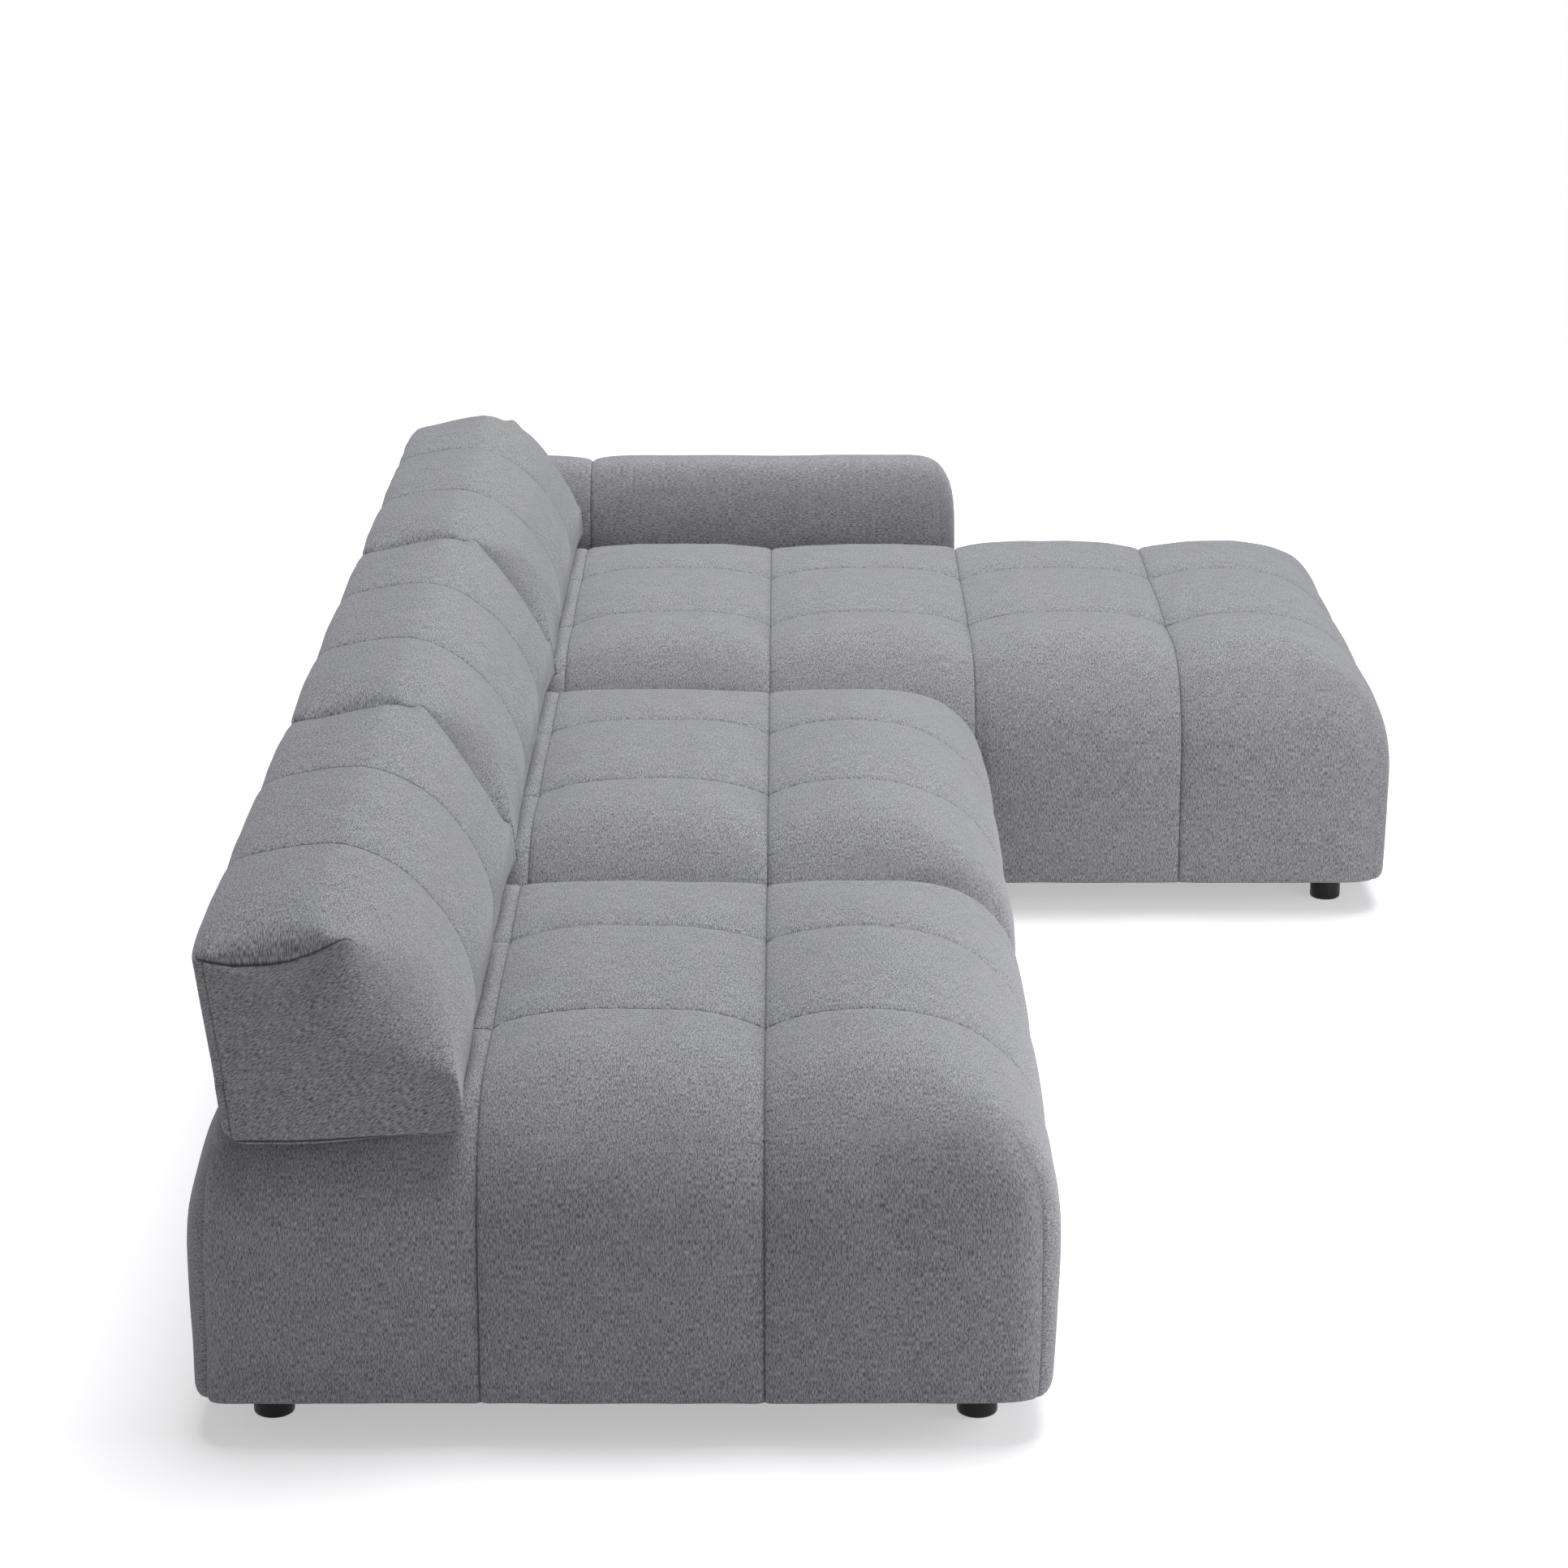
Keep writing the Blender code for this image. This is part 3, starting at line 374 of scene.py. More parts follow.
def dart_shade_distance(to_corner, drawn):
    """A dart's distance for the shade painted along it: a little more, and more where the dart
    fades.
    """
    return to_corner + DART_SHADE_FADE[0] + DART_SHADE_FADE[1] * (1 - drawn)


def upholstery(name, points, faces, weave, seam, stitch, finish):
    """A cloth skin as a mesh object, with its weave as the UV map and its distances from the
    sewn valleys, darts and seams, along which shade is painted, and from the stitched lines as
    attributes."""
    mesh = bpy.data.meshes.new(name)
    mesh.vertices.add(len(points))
    mesh.vertices.foreach_set("co", points.astype(np.float32).ravel())
    mesh.loops.add(faces.size)
    mesh.loops.foreach_set("vertex_index", faces.astype(np.int32).ravel())
    mesh.polygons.add(len(faces))
    mesh.polygons.foreach_set("loop_start", np.arange(0, faces.size, 4, dtype=np.int32))
    mesh.update(calc_edges=True)
    mesh.polygons.foreach_set("use_smooth", np.ones(len(faces), bool))
    mesh.uv_layers.new(name="weave").data.foreach_set("uv", weave.astype(np.float32).ravel())
    for label, values in (("seam", seam), ("stitch", stitch)):
        attribute = mesh.attributes.new(label, "FLOAT", "POINT")
        attribute.data.foreach_set("value", values.astype(np.float32))
    mesh.materials.append(finish)
    mesh.validate()
    return placed(name, mesh)


def bumped(tree, height, strength, distance):
    """The normal that a height gives a surface."""
    inputs = {"Height": height, "Strength": strength, "Distance": distance}
    return added(tree, "Bump", inputs).outputs["Normal"]


def cloth_finish(name):
    """Grey melange cloth, from the UV map in metres: flecks longer along the thread than
    across it, mixed from dark and light yarn, cloudy patches, a plain weave in the bump,
    painted shade along the valleys, darts and seams, and a row of single stitches on the
    stitched lines."""
    made, tree, shader = material_nodes(name)
    weave = added(tree, "UVMap", {}, uv_map="weave").outputs["UV"]

    def math_node(kind, *values):
        """The result of one kind of sum with sockets or numbers."""
        return added(tree, "Math", dict(enumerate(values)), operation=kind).outputs[0]

    def fleck(width, length, detail, seed):
        """Noise in flecks of a width and a length, its place moved by a seed."""
        scaled = added(tree, "Mapping", {
            "Vector": weave, "Scale": (1 / width, 1 / length, 1), "Location": (seed, seed * 1.7, 0),
        })
        noise = added(tree, "TexNoise", {
            "Vector": scaled.outputs["Vector"], "Scale": 1.0, "Detail": detail, "Roughness": 0.6,
        }, noise_dimensions="2D")
        return noise.outputs["Fac"]

    def spread(value, low, high):
        """0 up to low, 1 from high on, and in proportion between."""
        node = added(tree, "MapRange", {"Value": value, "From Min": low, "From Max": high})
        return node.outputs["Result"]

    def mixed(share, first, second):
        """The colour a share of the way from the first to the second."""
        node = added(tree, "Mix", {"Factor": share, "A": first, "B": second}, data_type="RGBA")
        return node.outputs["Result"]

    def close_to(label, inner, outer):
        """1 up to the inner distance from a sewn line, and 0 from the outer one on."""
        distance = added(tree, "Attribute", {}, attribute_name=label).outputs["Fac"]
        return math_node("SUBTRACT", 1.0, spread(distance, inner, outer))

    yarn = fleck(*FLECK, 2.0, 3.1)
    slub = fleck(FLECK[0] * 2.4, FLECK[1] * 3.2, 1.0, 11.7)
    cloud = fleck(0.030, 0.045, 2.0, 23.9)
    blend = math_node("MULTIPLY_ADD", slub, 0.18, math_node("MULTIPLY", cloud, 0.06))
    blend = math_node("MULTIPLY_ADD", yarn, 0.76, blend)
    threads = mixed(spread(blend, 0.365, 0.635), (*DARK_THREAD, 1), (*LIGHT_THREAD, 1))
    split = added(tree, "SeparateXYZ", {"Vector": weave}).outputs
    dash = math_node("PINGPONG", math_node("ADD", split["X"], split["Y"]), STITCH)
    dash = math_node("MULTIPLY_ADD", spread(dash, 0.0004, 0.0009), 0.35, 0.62)
    stitched = math_node("MULTIPLY", close_to("stitch", 0.0008, 0.0021), dash)
    # painted shade in the creases along the sewn valleys, darts and seams
    sewn = math_node("MULTIPLY", close_to("seam", 0.0004, 0.0017), 0.60)
    darkness = math_node("MAXIMUM", stitched, sewn)
    weft, warp = (math_node("PINGPONG", split[axis], THREAD) for axis in ("X", "Y"))
    relief = math_node("MULTIPLY", yarn, 1.2)
    relief = math_node("MULTIPLY_ADD", math_node("ADD", weft, warp), 500.0, relief)
    feed(tree, shader, {
        "Base Color": mixed(darkness, threads, (*STITCH_AND_SEAM_SHADE, 1)),
        "Normal": bumped(tree, relief, 0.25, 0.0006),
        "Roughness": math_node("MULTIPLY_ADD", yarn, -0.12, 0.96),
        "Specular IOR Level": 0.25, "Sheen Weight": 0.35, "Sheen Roughness": 0.45,
        "Sheen Tint": (0.93, 0.94, 1.0, 1),
    })
    return made


cloth = cloth_finish("grey_melange_cloth")


def underside(points, low, high, inner_low, inner_high, outside):
    """The level ring between a block's lower outline and its pocket. Each point there lies a
    share of the way from the pocket's nearest edge to the outline. Returns which points these
    are, the nearest places on the pocket, the shares, and the points with those sent out to
    the outline, so that they can be brought back when the outline has its form."""
    inner = np.clip(points, (*inner_low, -1), (*inner_high, 9))
    margin = np.where(points > inner, high - inner, inner - low)
    share = np.max(np.abs(points - inner)[:, :2] / np.maximum(margin[:, :2], 1e-9), axis=1)
    under = ~outside & (points[:, 2] < low[2] + EDGE) & (share > 0)
    skin = points.copy()
    skin[under, :2] = inner[under, :2] + (points - inner)[under, :2] / share[under, None]
    return under, inner, share, skin


def shelf(x):
    """Height of the place that a backrest stands on: level behind, and in front it rises to
    the seat along a flat arc, as the backrest's foot does."""
    share = np.clip((x - SHELF_RISE[0]) / (SHELF_RISE[1] - SHELF_RISE[0]), 0, 1)
    return SHELF_HEIGHT + SHELF_RISE[2] * (1 - (1 - share**FOOT_POWER) ** (1 / FOOT_POWER))


def seat_form(points, panels, held_right, held_left, far_fall, front_corners, seed):
    """The foam block's skin. The box is rounded, large at the front and over the sides; pads
    rise between the valleys by one less the cube of the distance from their middle; valleys,
    stitched lines and corner darts are cut in by a steep fall with distance; the rear is
    planed level for the backrest, the hem turns under, and held sides are pressed flat."""
    depth = panels * PANEL_DEPTH
    over = SEAT_OVERHANG
    low = np.array((-over["rear"], -over["side"], SEAT_BOTTOM))
    high = np.array((depth + over["front"], MODULE_WIDTH + over["side"], SEAM_HEIGHT))
    on_end, on_side, on_top = on_faces(points, low, high)
    outside = on_end | on_side | on_top
    under, inner, share, skin = underside(
        points, low, high, (POCKET_WALL, POCKET_WALL),
        (depth - POCKET_WALL, MODULE_WIDTH - POCKET_WALL), outside,
    )
    x, y, z = skin.T
    on_end = on_faces(skin, low, high)[0]
    behind, rise = x - low[0], z - SEAT_BOTTOM
    near, ahead = y < MODULE_WIDTH / 2, x > depth / 2
    # the rounded box
    reach = np.maximum(low + SEAT_ROUND_LOW - skin, 0)[:, :2] / SEAT_ROUND_LOW[:2]
    reach += np.maximum(skin - high + SEAT_ROUND_HIGH, 0)[:, :2] / SEAT_ROUND_HIGH[:2]
    lengthwise, sideways = np.clip(reach, 0, 1).T
    corner = ease(lengthwise, 0, 1) * ease(sideways, 0, 1)
    power = SEAT_TOP_POWER + np.where(ahead, *END_POWER_CHANGE) * lengthwise**2
    power += np.where(ahead, np.where(near, *front_corners), 0.0) * corner
    form, outward = rounded(
        skin, low, high, SEAT_ROUND_LOW, SEAT_ROUND_HIGH, (0, 1), SEAT_PLAN_POWER, power
    )
    # pads, valleys and stitched lines
    from_valley = away(x, [panel * PANEL_DEPTH for panel in range(1, panels)])
    from_line = np.where(on_top | on_end, away(y, LINES), 1.0)
    along = pad(x, PANEL_DEPTH, VALLEY_PAD)
    along_top = np.where(x > depth - PANEL_DEPTH / 2, 1, along)
    outermost = away(y, [0, MODULE_WIDTH]) < PANEL_WIDTH / 2
    across = np.where(outermost, 1, pad(y, PANEL_WIDTH, LINE_PAD))
    left_fall = far_fall[0] + (far_fall[1] - far_fall[0]) * ease(x, *LEFT_FALL_CHANGE)
    lowered = 1 - MIDDLE_FALL[0] * ease(y, *MIDDLE_FALL[1:]) - left_fall * ease(y, *LEFT_FALL)
    lowered -= RIGHT_FALL[0] * ease(-y, *RIGHT_FALL[1:])
    crown = SEAT_CROWN * along_top * np.where(x < PANEL_DEPTH, REAR_CROWN_SHARE, 1.0)
    top = (crown + STITCH_CROWN * across) * lowered
    free = x > np.where(near, held_right, held_left)
    side = SIDE_CROWN * along * swelling(rise) * free
    whole = FRONT_CROWN * pad(y, MODULE_WIDTH, WHOLE_PAD)
    end = (whole + 0.5 * STITCH_CROWN * across) * swelling(rise)
    cut = groove(from_valley, *SEAT_VALLEY_CUT) + groove(from_line, *SEAT_LINE_CUT)
    pulled = puckers(x + y + z, SEAT_PUCKERS, skin, seed + 1)
    pulled *= groove(from_valley, VALLEY_PULL) + groove(from_line, LINE_PULL)
    form += outward * np.stack([end, side, top], axis=1)
    form += outward * (SEAT_UNEVENNESS * drift(skin, seed) + pulled - cut)[:, None]
    # darts at the four upright corners, up to three quarters of the height, and the rear
    to_corner = from_corner(skin, low, high, on_end, on_top)
    drawn = 1 - ease(z, *SEAT_DART_HEIGHT)
    inward = np.stack([np.where(ahead, -1, 1), np.where(near, 1, -1), 0 * x], axis=1)
    form += inward * (0.75 * groove(to_corner, *SEAT_DART_CUT) * drawn)[:, None]
    forwards, rear_reach, side_reach = REAR_CORNER
    beside = np.exp(-behind / side_reach) * ~on_top
    turned_in = np.where(x < low[0] + EDGE, curl(to_corner / rear_reach), beside)
    form[:, 0] += forwards * drawn * turned_in
    lean = REAR_LEAN[0] + REAR_LEAN[1] * ease(form[:, 2], *REAR_LEAN_HEIGHT)
    form[:, 0] += lean * np.exp(-behind / REAR_LEAN[2]) * ease(rise, 0.0, REAR_LEAN_START)
    # the hem
    waves = HEM_WAVES[0] * drift(skin, seed + 2) * np.exp(-rise / HEM_WAVES[1])
    form -= outward * (1, 1, 0) * (hem_turn(rise) + waves)[:, None]
    # the level place behind, and sides held by a neighbour
    strip = shelf(x) + (STITCH_CROWN * across * lowered - cut) * ease(x, *SHELF_LIP)
    form[:, 2] = np.where(x < PANEL_DEPTH, np.minimum(form[:, 2], strip), form[:, 2])
    form[:, 1] = np.where(x < held_right, np.maximum(form[:, 1], CLEARANCE), form[:, 1])
    pressed = np.minimum(form[:, 1], MODULE_WIDTH - CLEARANCE)
    form[:, 1] = np.where(x < held_left, pressed, form[:, 1])
    form[under, :2] = inner[under, :2] + (form - inner)[under, :2] * share[under, None]
    inside = ~outside & ~under
    form[inside] = points[inside]
    form[under, 2] = SEAT_BOTTOM
    # painted seam shade and stitched lines, which end where the backrest stands
    shown = outside & ~((x < SHELF_RISE[1] - 0.01) & on_top)
    seam = np.where(shown, np.minimum(from_valley, dart_shade_distance(to_corner, drawn)), 1.0)
    return form, seam, np.where(shown, from_line, 1.0)


def block_weave(points, faces, sides, far):
    """The cloth's thread lines laid over a block in metres: across and along on top, down
    the sides and over the ends without a break, each face by its own two axes."""
    x, y, z = points[faces].transpose(2, 0, 1)
    fall = far[2] - z
    axis, towards = sides[:, :1], sides[:, 1:]
    u = np.where(axis == 0, np.where(towards > 0, far[0] + fall, -fall), x)
    v = np.where(axis == 1, np.where(towards > 0, far[1] + fall, -fall), y)
    return np.stack([u, v], axis=2)


SEATS = (
    # name, panels deep, how far a neighbour holds its right and its left side, how far the pads
    # come down on the left, behind and in front, as shares of the crown, and what squares the
    # upper front corners, right and left
    ("end_seat", 3, 0.0, 1.030, (0.64, 0.70), (0.8, 0.2)),
    ("middle_seat", 3, 1.030, 1.030, (0.64, 0.70), (0.8, 0.2)),
    ("chaise", 5, 1.030, 1.030, (0.52, 0.36), (0.1, 0.5)),
)
for number, (seat_name, panels, held_right, held_left, far_fall, front_corners) in enumerate(SEATS):
    seat_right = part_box(seat_name + "_dust_cover")[0].y - DUST_COVER_INSET
    depth = panels * PANEL_DEPTH
    tube_low, tube_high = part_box(seat_name + "_back_sockets")
    slot_rear, slot_front = tube_low.x - SEAT_REAR - SLOT_ROOM, tube_high.x - SEAT_REAR + SLOT_ROOM
    slots = [(
        (slot_rear, middle - SLOT_HALF, POCKET_CEILING),
        (slot_front, middle + SLOT_HALF, SEAM_HEIGHT),
    ) for middle in SOCKETS]
    slot_sides = [corner[1] for slot in slots for corner in slot]
    pocket = (
        (POCKET_WALL, POCKET_WALL, SEAT_BOTTOM),
        (depth - POCKET_WALL, MODULE_WIDTH - POCKET_WALL, POCKET_CEILING),
    )
    valleys = [panel * PANEL_DEPTH for panel in range(1, panels)]
    over = SEAT_OVERHANG
    cells = (
        walls([-over["rear"], *valleys, depth + over["front"]],
              [POCKET_WALL, slot_rear, slot_front, depth - POCKET_WALL], SEAT_CELL),
        walls([-over["side"], *LINES, MODULE_WIDTH + over["side"]],
              [POCKET_WALL, *slot_sides, MODULE_WIDTH - POCKET_WALL], SEAT_CELL),
        walls([SEAT_BOTTOM, SEAM_HEIGHT], [POCKET_CEILING], SEAT_CELL),
    )
    points, faces, sides = block_skin(cells, [pocket, *slots])
    weave = block_weave(points, faces, sides, (depth, MODULE_WIDTH, SEAM_HEIGHT))
    form, seam, stitch = seat_form(
        points, panels, held_right, held_left, far_fall, front_corners, SEAT_SEED + number
    )
    form += (SEAT_REAR, seat_right, 0)
    block = upholstery(seat_name + "_upholstery", form, faces, weave, seam, stitch, cloth)
    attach(block, "base")
    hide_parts(seat_name + "_cover")

# Backrests. Each is a wedge of foam on a board, in a cover of the same cloth: one sleeve goes
# up the back, over the top and down the front, sewn at each end to a panel along the back,
# the bottom and the top, where the seam ends in a dart. It lifts out of its seat with the board.
BACK_LOW = np.array((0.0430, 0.0, SHELF_HEIGHT + 0.0003))
BACK_HIGH = np.array((0.3175, MODULE_WIDTH, SHELF_HEIGHT + 0.2605))
BACK_HEIGHT = BACK_HIGH[2] - BACK_LOW[2]
BACK_DEPTH = BACK_HIGH[0] - BACK_LOW[0]
BACK_LEAN = 0.032
BACK_SINK = 0.025
BACK_CROWN = 0.012
BACK_TOP_CROWN = 0.007
BACK_END_CROWN = 0.009
BACK_REAR_SHARE = 0.10
BACK_PAD = 2
BACK_CREST = 0.160
BACK_FRONT_ROUND = 0.185  # how far down the top's rounding reaches in front, and behind
BACK_REAR_ROUND = 0.016
BACK_FOOT = 0.022
END_SEAM = (  # its places along the depth, and its heights there
    (0.02, 0.06, 0.10, 0.13, 0.16, 0.20, 0.24), (0.613, 0.605, 0.605, 0.610, 0.622, 0.645, 0.657),
)
DART_TIP = np.array((0.204, 0.0, 0.645))
DART_ANGLE = 1.31  # of the dart round the rounding of front and top, from the front
DART_FADE = (0.190, 0.215)
# Where the ends differ, the right one comes first: their rounding, how much it grows halfway
# down the front and how far they are drawn in there, then the same behind the dart
END_ROUND = (0.020, 0.012)
END_ROUND_GROWTH = (0.100, 0.150)
END_DRAWN_IN = (0.21, 0.30)
REAR_END_ROUND = (0.010, 0.035, 0.13)  # with its growth and where that ends
REAR_DRAWN_IN = 0.16
LEAST_DRAWN_IN = 0.030
END_FALL = (0.105, 0.165)  # over what width the top comes down to the end seam
END_LIP = 0.005
TIP_REACH = (0.012, 0.055)
RIGHT_TIP = 0.0015
FOOT_JUT = (0.014, 0.011)
FOOT_JUT_REACH = 0.06
FOOT_DROOP = (0.0075, 0.0040, 0.045)  # behind and in front, and its reach
FOOT_SEAM = 0.004
BACK_SEAM = 0.0065
REAR_WRAP = (0.004, 0.050, 0.04)  # how far the rear's edge comes forwards, its reach
BACK_LINE_CUT = ((0.0017, 0.0024), (0.0010, 0.012))
END_SEAM_CUT = (0.0022, 0.0026)
FOOT_SEAM_CUT = (0.0012, 0.003)
BACK_SEAM_PINCH = ((0.002, 0.003), (0.002, 0.022))
BACK_LINE_PULL = (1.0, 0.010)
END_SEAM_PULL = (1.0, 0.012)
BACK_PUCKERS = (0.0005, 0.019)
DART_RIPPLES = (0.0006, 0.0125, 0.060, 0.028)  # height, length, distance from the tip, width
RIPPLE_HEIGHT = (0.60, 0.64)
BACK_UNEVENNESS = 0.0009
BOARD_INSET = 0.060
BOARD_SIDE = 0.0597
BOARD_ROOM = 0.0003
BACK_CELLS = (0.007, 0.009, 0.007)
BACK_SEED = 60


def wedge_form(skin):
    """The wedge without its seams. The section is a box whose front and top are one large
    rounding of power 1.65; its height sinks and it leans back towards its rear. The ends are
    rounded into it by the angle round that rounding: least at the dart, where the corner stays
    sharp, and most halfway down the front, where its outline is drawn in by a fifth, the left
    one by more."""
    low, high = BACK_LOW, BACK_HIGH
    x, y, z = skin.T
    depth, height = (x - low[0]) / BACK_DEPTH, (z - low[2]) / BACK_HEIGHT
    behind = np.clip((BACK_CREST - x) / (BACK_CREST - low[0]), 0, 1)
    ahead = np.clip((x - BACK_CREST) / (high[0] - BACK_CREST), 1e-9, 1)
    up = np.clip((z - high[2] + BACK_FRONT_ROUND) / BACK_FRONT_ROUND, 0, 1)
    angle = np.arctan2(up, ahead)
    near = y < MODULE_WIDTH / 2
    share = np.clip(angle / DART_ANGLE, 0, 1)
    left_share = share**0.7
    right_bow, left_bow = (4 * share * (1 - share)) ** 0.75, 4 * left_share * (1 - left_share)
    before_dart = np.where(near, right_bow, left_bow)
    behind_dart = ease(angle, DART_ANGLE, math.pi / 2)
    ends = np.where(near, *END_ROUND) + np.where(near, *END_ROUND_GROWTH) * before_dart
    rear_round, growth, growth_end = REAR_END_ROUND
    ends += (rear_round + growth * ease(x, low[0], growth_end)) * behind_dart
    drawn_in = np.where(near, *END_DRAWN_IN) * before_dart + REAR_DRAWN_IN * behind_dart
    end_power = -math.log(2) / np.log(1 - np.maximum(drawn_in, LEAST_DRAWN_IN))
    zero = np.zeros(len(skin))
    top_round = ease(x, low[0] + 0.02, BACK_CREST) * (BACK_FRONT_ROUND - BACK_REAR_ROUND)
    form, outward = rounded(
        skin, low, high, np.stack([zero + BACK_FOOT, ends, zero + SHELF_RISE[2]], axis=1),
        np.stack([zero + high[0] - BACK_CREST, ends, BACK_REAR_ROUND + top_round], axis=1),
        (0, 2), FOOT_POWER, end_power,
    )
    form[:, 2] = low[2] + (form[:, 2] - low[2]) * (1 - BACK_SINK * behind**2 / BACK_HEIGHT)
    form[:, 0] -= BACK_LEAN * height * (1 - depth) ** 2
    return form, outward


def back_form(points, hollow, held_right, held_left, far_tip, seed):
    """The wedge's skin. Towards each end the top comes down along a quarter ellipse to the end
    seam, as far as the dart, and the front corner of the foot juts out. It swells between its
    stitched lines, seams are drawn in, and the foot of a free right end hangs a little lower."""
    low, high = BACK_LOW, BACK_HIGH
    on_face, on_end, on_top = on_faces(points, low, high)
    outside = on_face | on_end | on_top
    under, inner, share, skin = underside(points, low, high, hollow[0][:2], hollow[1][:2], outside)
    x, y, z = skin.T
    on_rear, near = x < low[0] + EDGE, y < MODULE_WIDTH / 2
    depth, height = (x - low[0]) / BACK_DEPTH, (z - low[2]) / BACK_HEIGHT
    out = np.where(near, -1, 1)
    to_end = np.minimum(y - low[1], high[1] - y)
    form, outward = wedge_form(skin)
    nearest_end = np.where(near, low[1], high[1])
    rim = wedge_form(np.stack([x, nearest_end, np.full(len(x), high[2])], axis=1))[0]
    # swelling
    across = np.where(to_end < PANEL_WIDTH / 2, 1, pad(y, PANEL_WIDTH, BACK_PAD))
    fullness = across * ease(to_end, 0.0, 0.17)
    front = BACK_CROWN * fullness * ease(height, 0.04, 0.45)
    front *= np.where(outward[:, 0] > 0, 1, BACK_REAR_SHARE)
    end = BACK_END_CROWN * np.minimum(1.0, 2 * height)
    end *= pad(depth, 1.0001, BACK_PAD) * pad(height, 1.0001, BACK_PAD)
    top = BACK_TOP_CROWN * fullness * (outward[:, 2] > 0)
    form += outward * np.stack([front, end, top], axis=1)
    # towards each end the top comes down to the end seam, and its pad hangs over it
    fade = 1 - ease(rim[:, 0], *DART_FADE)
    fall = (rim[:, 2] - np.interp(rim[:, 0], *END_SEAM)) * fade
    quarter = curl(to_end / np.where(near, *END_FALL))
    form[:, 2] -= fall * quarter * np.clip(height, 0, 1) ** 3
    form[:, 1] += out * END_LIP * fade * 4 * quarter * (1 - quarter) * on_top
    # distances from the seams
    from_line = np.where(on_end, 1.0, away(y, LINES))
    round_rear = np.where(on_rear, to_end + BACK_SEAM, 1.0)
    to_back = np.where(on_end, np.abs(x - low[0] - BACK_SEAM), round_rear)
    to_top = np.where(on_end, high[2] - z, np.where(on_top, to_end, 1.0))
    to_foot = np.where(on_end | on_face, np.abs(z - low[2] - FOOT_SEAM), 1.0)
    to_tip = np.stack([form[:, 0] - DART_TIP[0], 0.7 * to_end, form[:, 2] - DART_TIP[2]], axis=1)
    from_tip = np.linalg.norm(to_tip, axis=1)
    # the seam at the back, the dart's tip and the front corner of the foot
    pinch = groove(to_back, *BACK_SEAM_PINCH)
    form[:, 0] += pinch
    form[:, 1] -= out * 0.6 * pinch
    forwards, wrap_reach, wrap_depth = REAR_WRAP
    wrapped = np.where(on_rear | on_top, curl(to_end / wrap_reach), 1.0)
    form[:, 0] += forwards * wrapped * np.exp(-(x - low[0]) / wrap_depth)
    near_tip = np.exp(-((from_tip / np.where(near, *TIP_REACH)) ** 2))
    form[:, 2] -= np.where(near, RIGHT_TIP, far_tip) * near_tip
    jut = np.where(near, *FOOT_JUT) * np.exp(-to_end / FOOT_JUT_REACH)
    form[:, 0] += jut * (1 - ease(height, 0, 0.5)) * ease(depth, 0.5, 1.0)
    # seams drawn in, with small waves beside them and round the dart's tip
    cut = groove(from_line, *BACK_LINE_CUT) + groove(to_foot, FOOT_SEAM_CUT)
    cut += groove(to_top, END_SEAM_CUT) * fade
    size, length, place, width = DART_RIPPLES
    ripple = size * np.sin(2 * math.pi * from_tip / length)
    ripple *= np.exp(-(((from_tip - place) / width) ** 2))
    ripple *= ease(form[:, 2], *RIPPLE_HEIGHT)
    pulled = puckers(x + z, BACK_PUCKERS, skin, seed + 1)
    pulled *= groove(from_line, BACK_LINE_PULL) + fade * groove(to_top, END_SEAM_PULL)
    form += outward * (BACK_UNEVENNESS * drift(skin, seed) + ripple + pulled - cut)[:, None]
    form[:, 2] = np.maximum(form[:, 2], low[2])
    # the foot's droop, ends held by a neighbour, and the hollow for the board
    droop = FOOT_DROOP[0] * (1 - ease(depth, 0.15, 0.85)) + FOOT_DROOP[1] * ease(depth, 0.85, 1.0)
    droop *= np.exp(-((to_end / FOOT_DROOP[2]) ** 2)) * (1 - ease(height, 0, 0.35))
    form[:, 2] -= np.where(near & (not held_right), droop, 0.0)
    if held_right:
        form[:, 1] = np.maximum(form[:, 1], CLEARANCE)
    if held_left:
        form[:, 1] = np.minimum(form[:, 1], MODULE_WIDTH - CLEARANCE)
    form[under] = inner[under] + (form - inner)[under] * share[under, None]
    inside = ~outside & ~under
    form[inside] = points[inside]
    # painted shade along the end seam up to the dart, and along the back seam
    end_seam = np.where(rim[:, 0] < DART_TIP[0], to_top, 1.0)
    seam = np.where(outside, np.minimum(to_back, end_seam), 1.0)
    return form, seam, np.where(outside, np.minimum(from_line, to_foot), 1.0)


def back_weave(points, faces, sides):
    """Thread lines of the backrest in metres: over the sleeve they run along the row, and on
    the end panels they rise at thirty degrees, as the panel is cut on the bias."""
    x, y, z = points[faces].transpose(2, 0, 1)
    fall = BACK_HIGH[2] - z
    axis, towards = sides[:, :1], sides[:, 1:]
    u = np.where(axis == 0, np.where(towards > 0, BACK_HIGH[0] + fall, -fall), x)
    turn = math.radians(60)
    panel_u = x * math.cos(turn) - z * math.sin(turn) + 3
    panel_v = x * math.sin(turn) + z * math.cos(turn) + 3
    return np.stack([np.where(axis == 1, panel_u, u), np.where(axis == 1, panel_v, y)], axis=2)


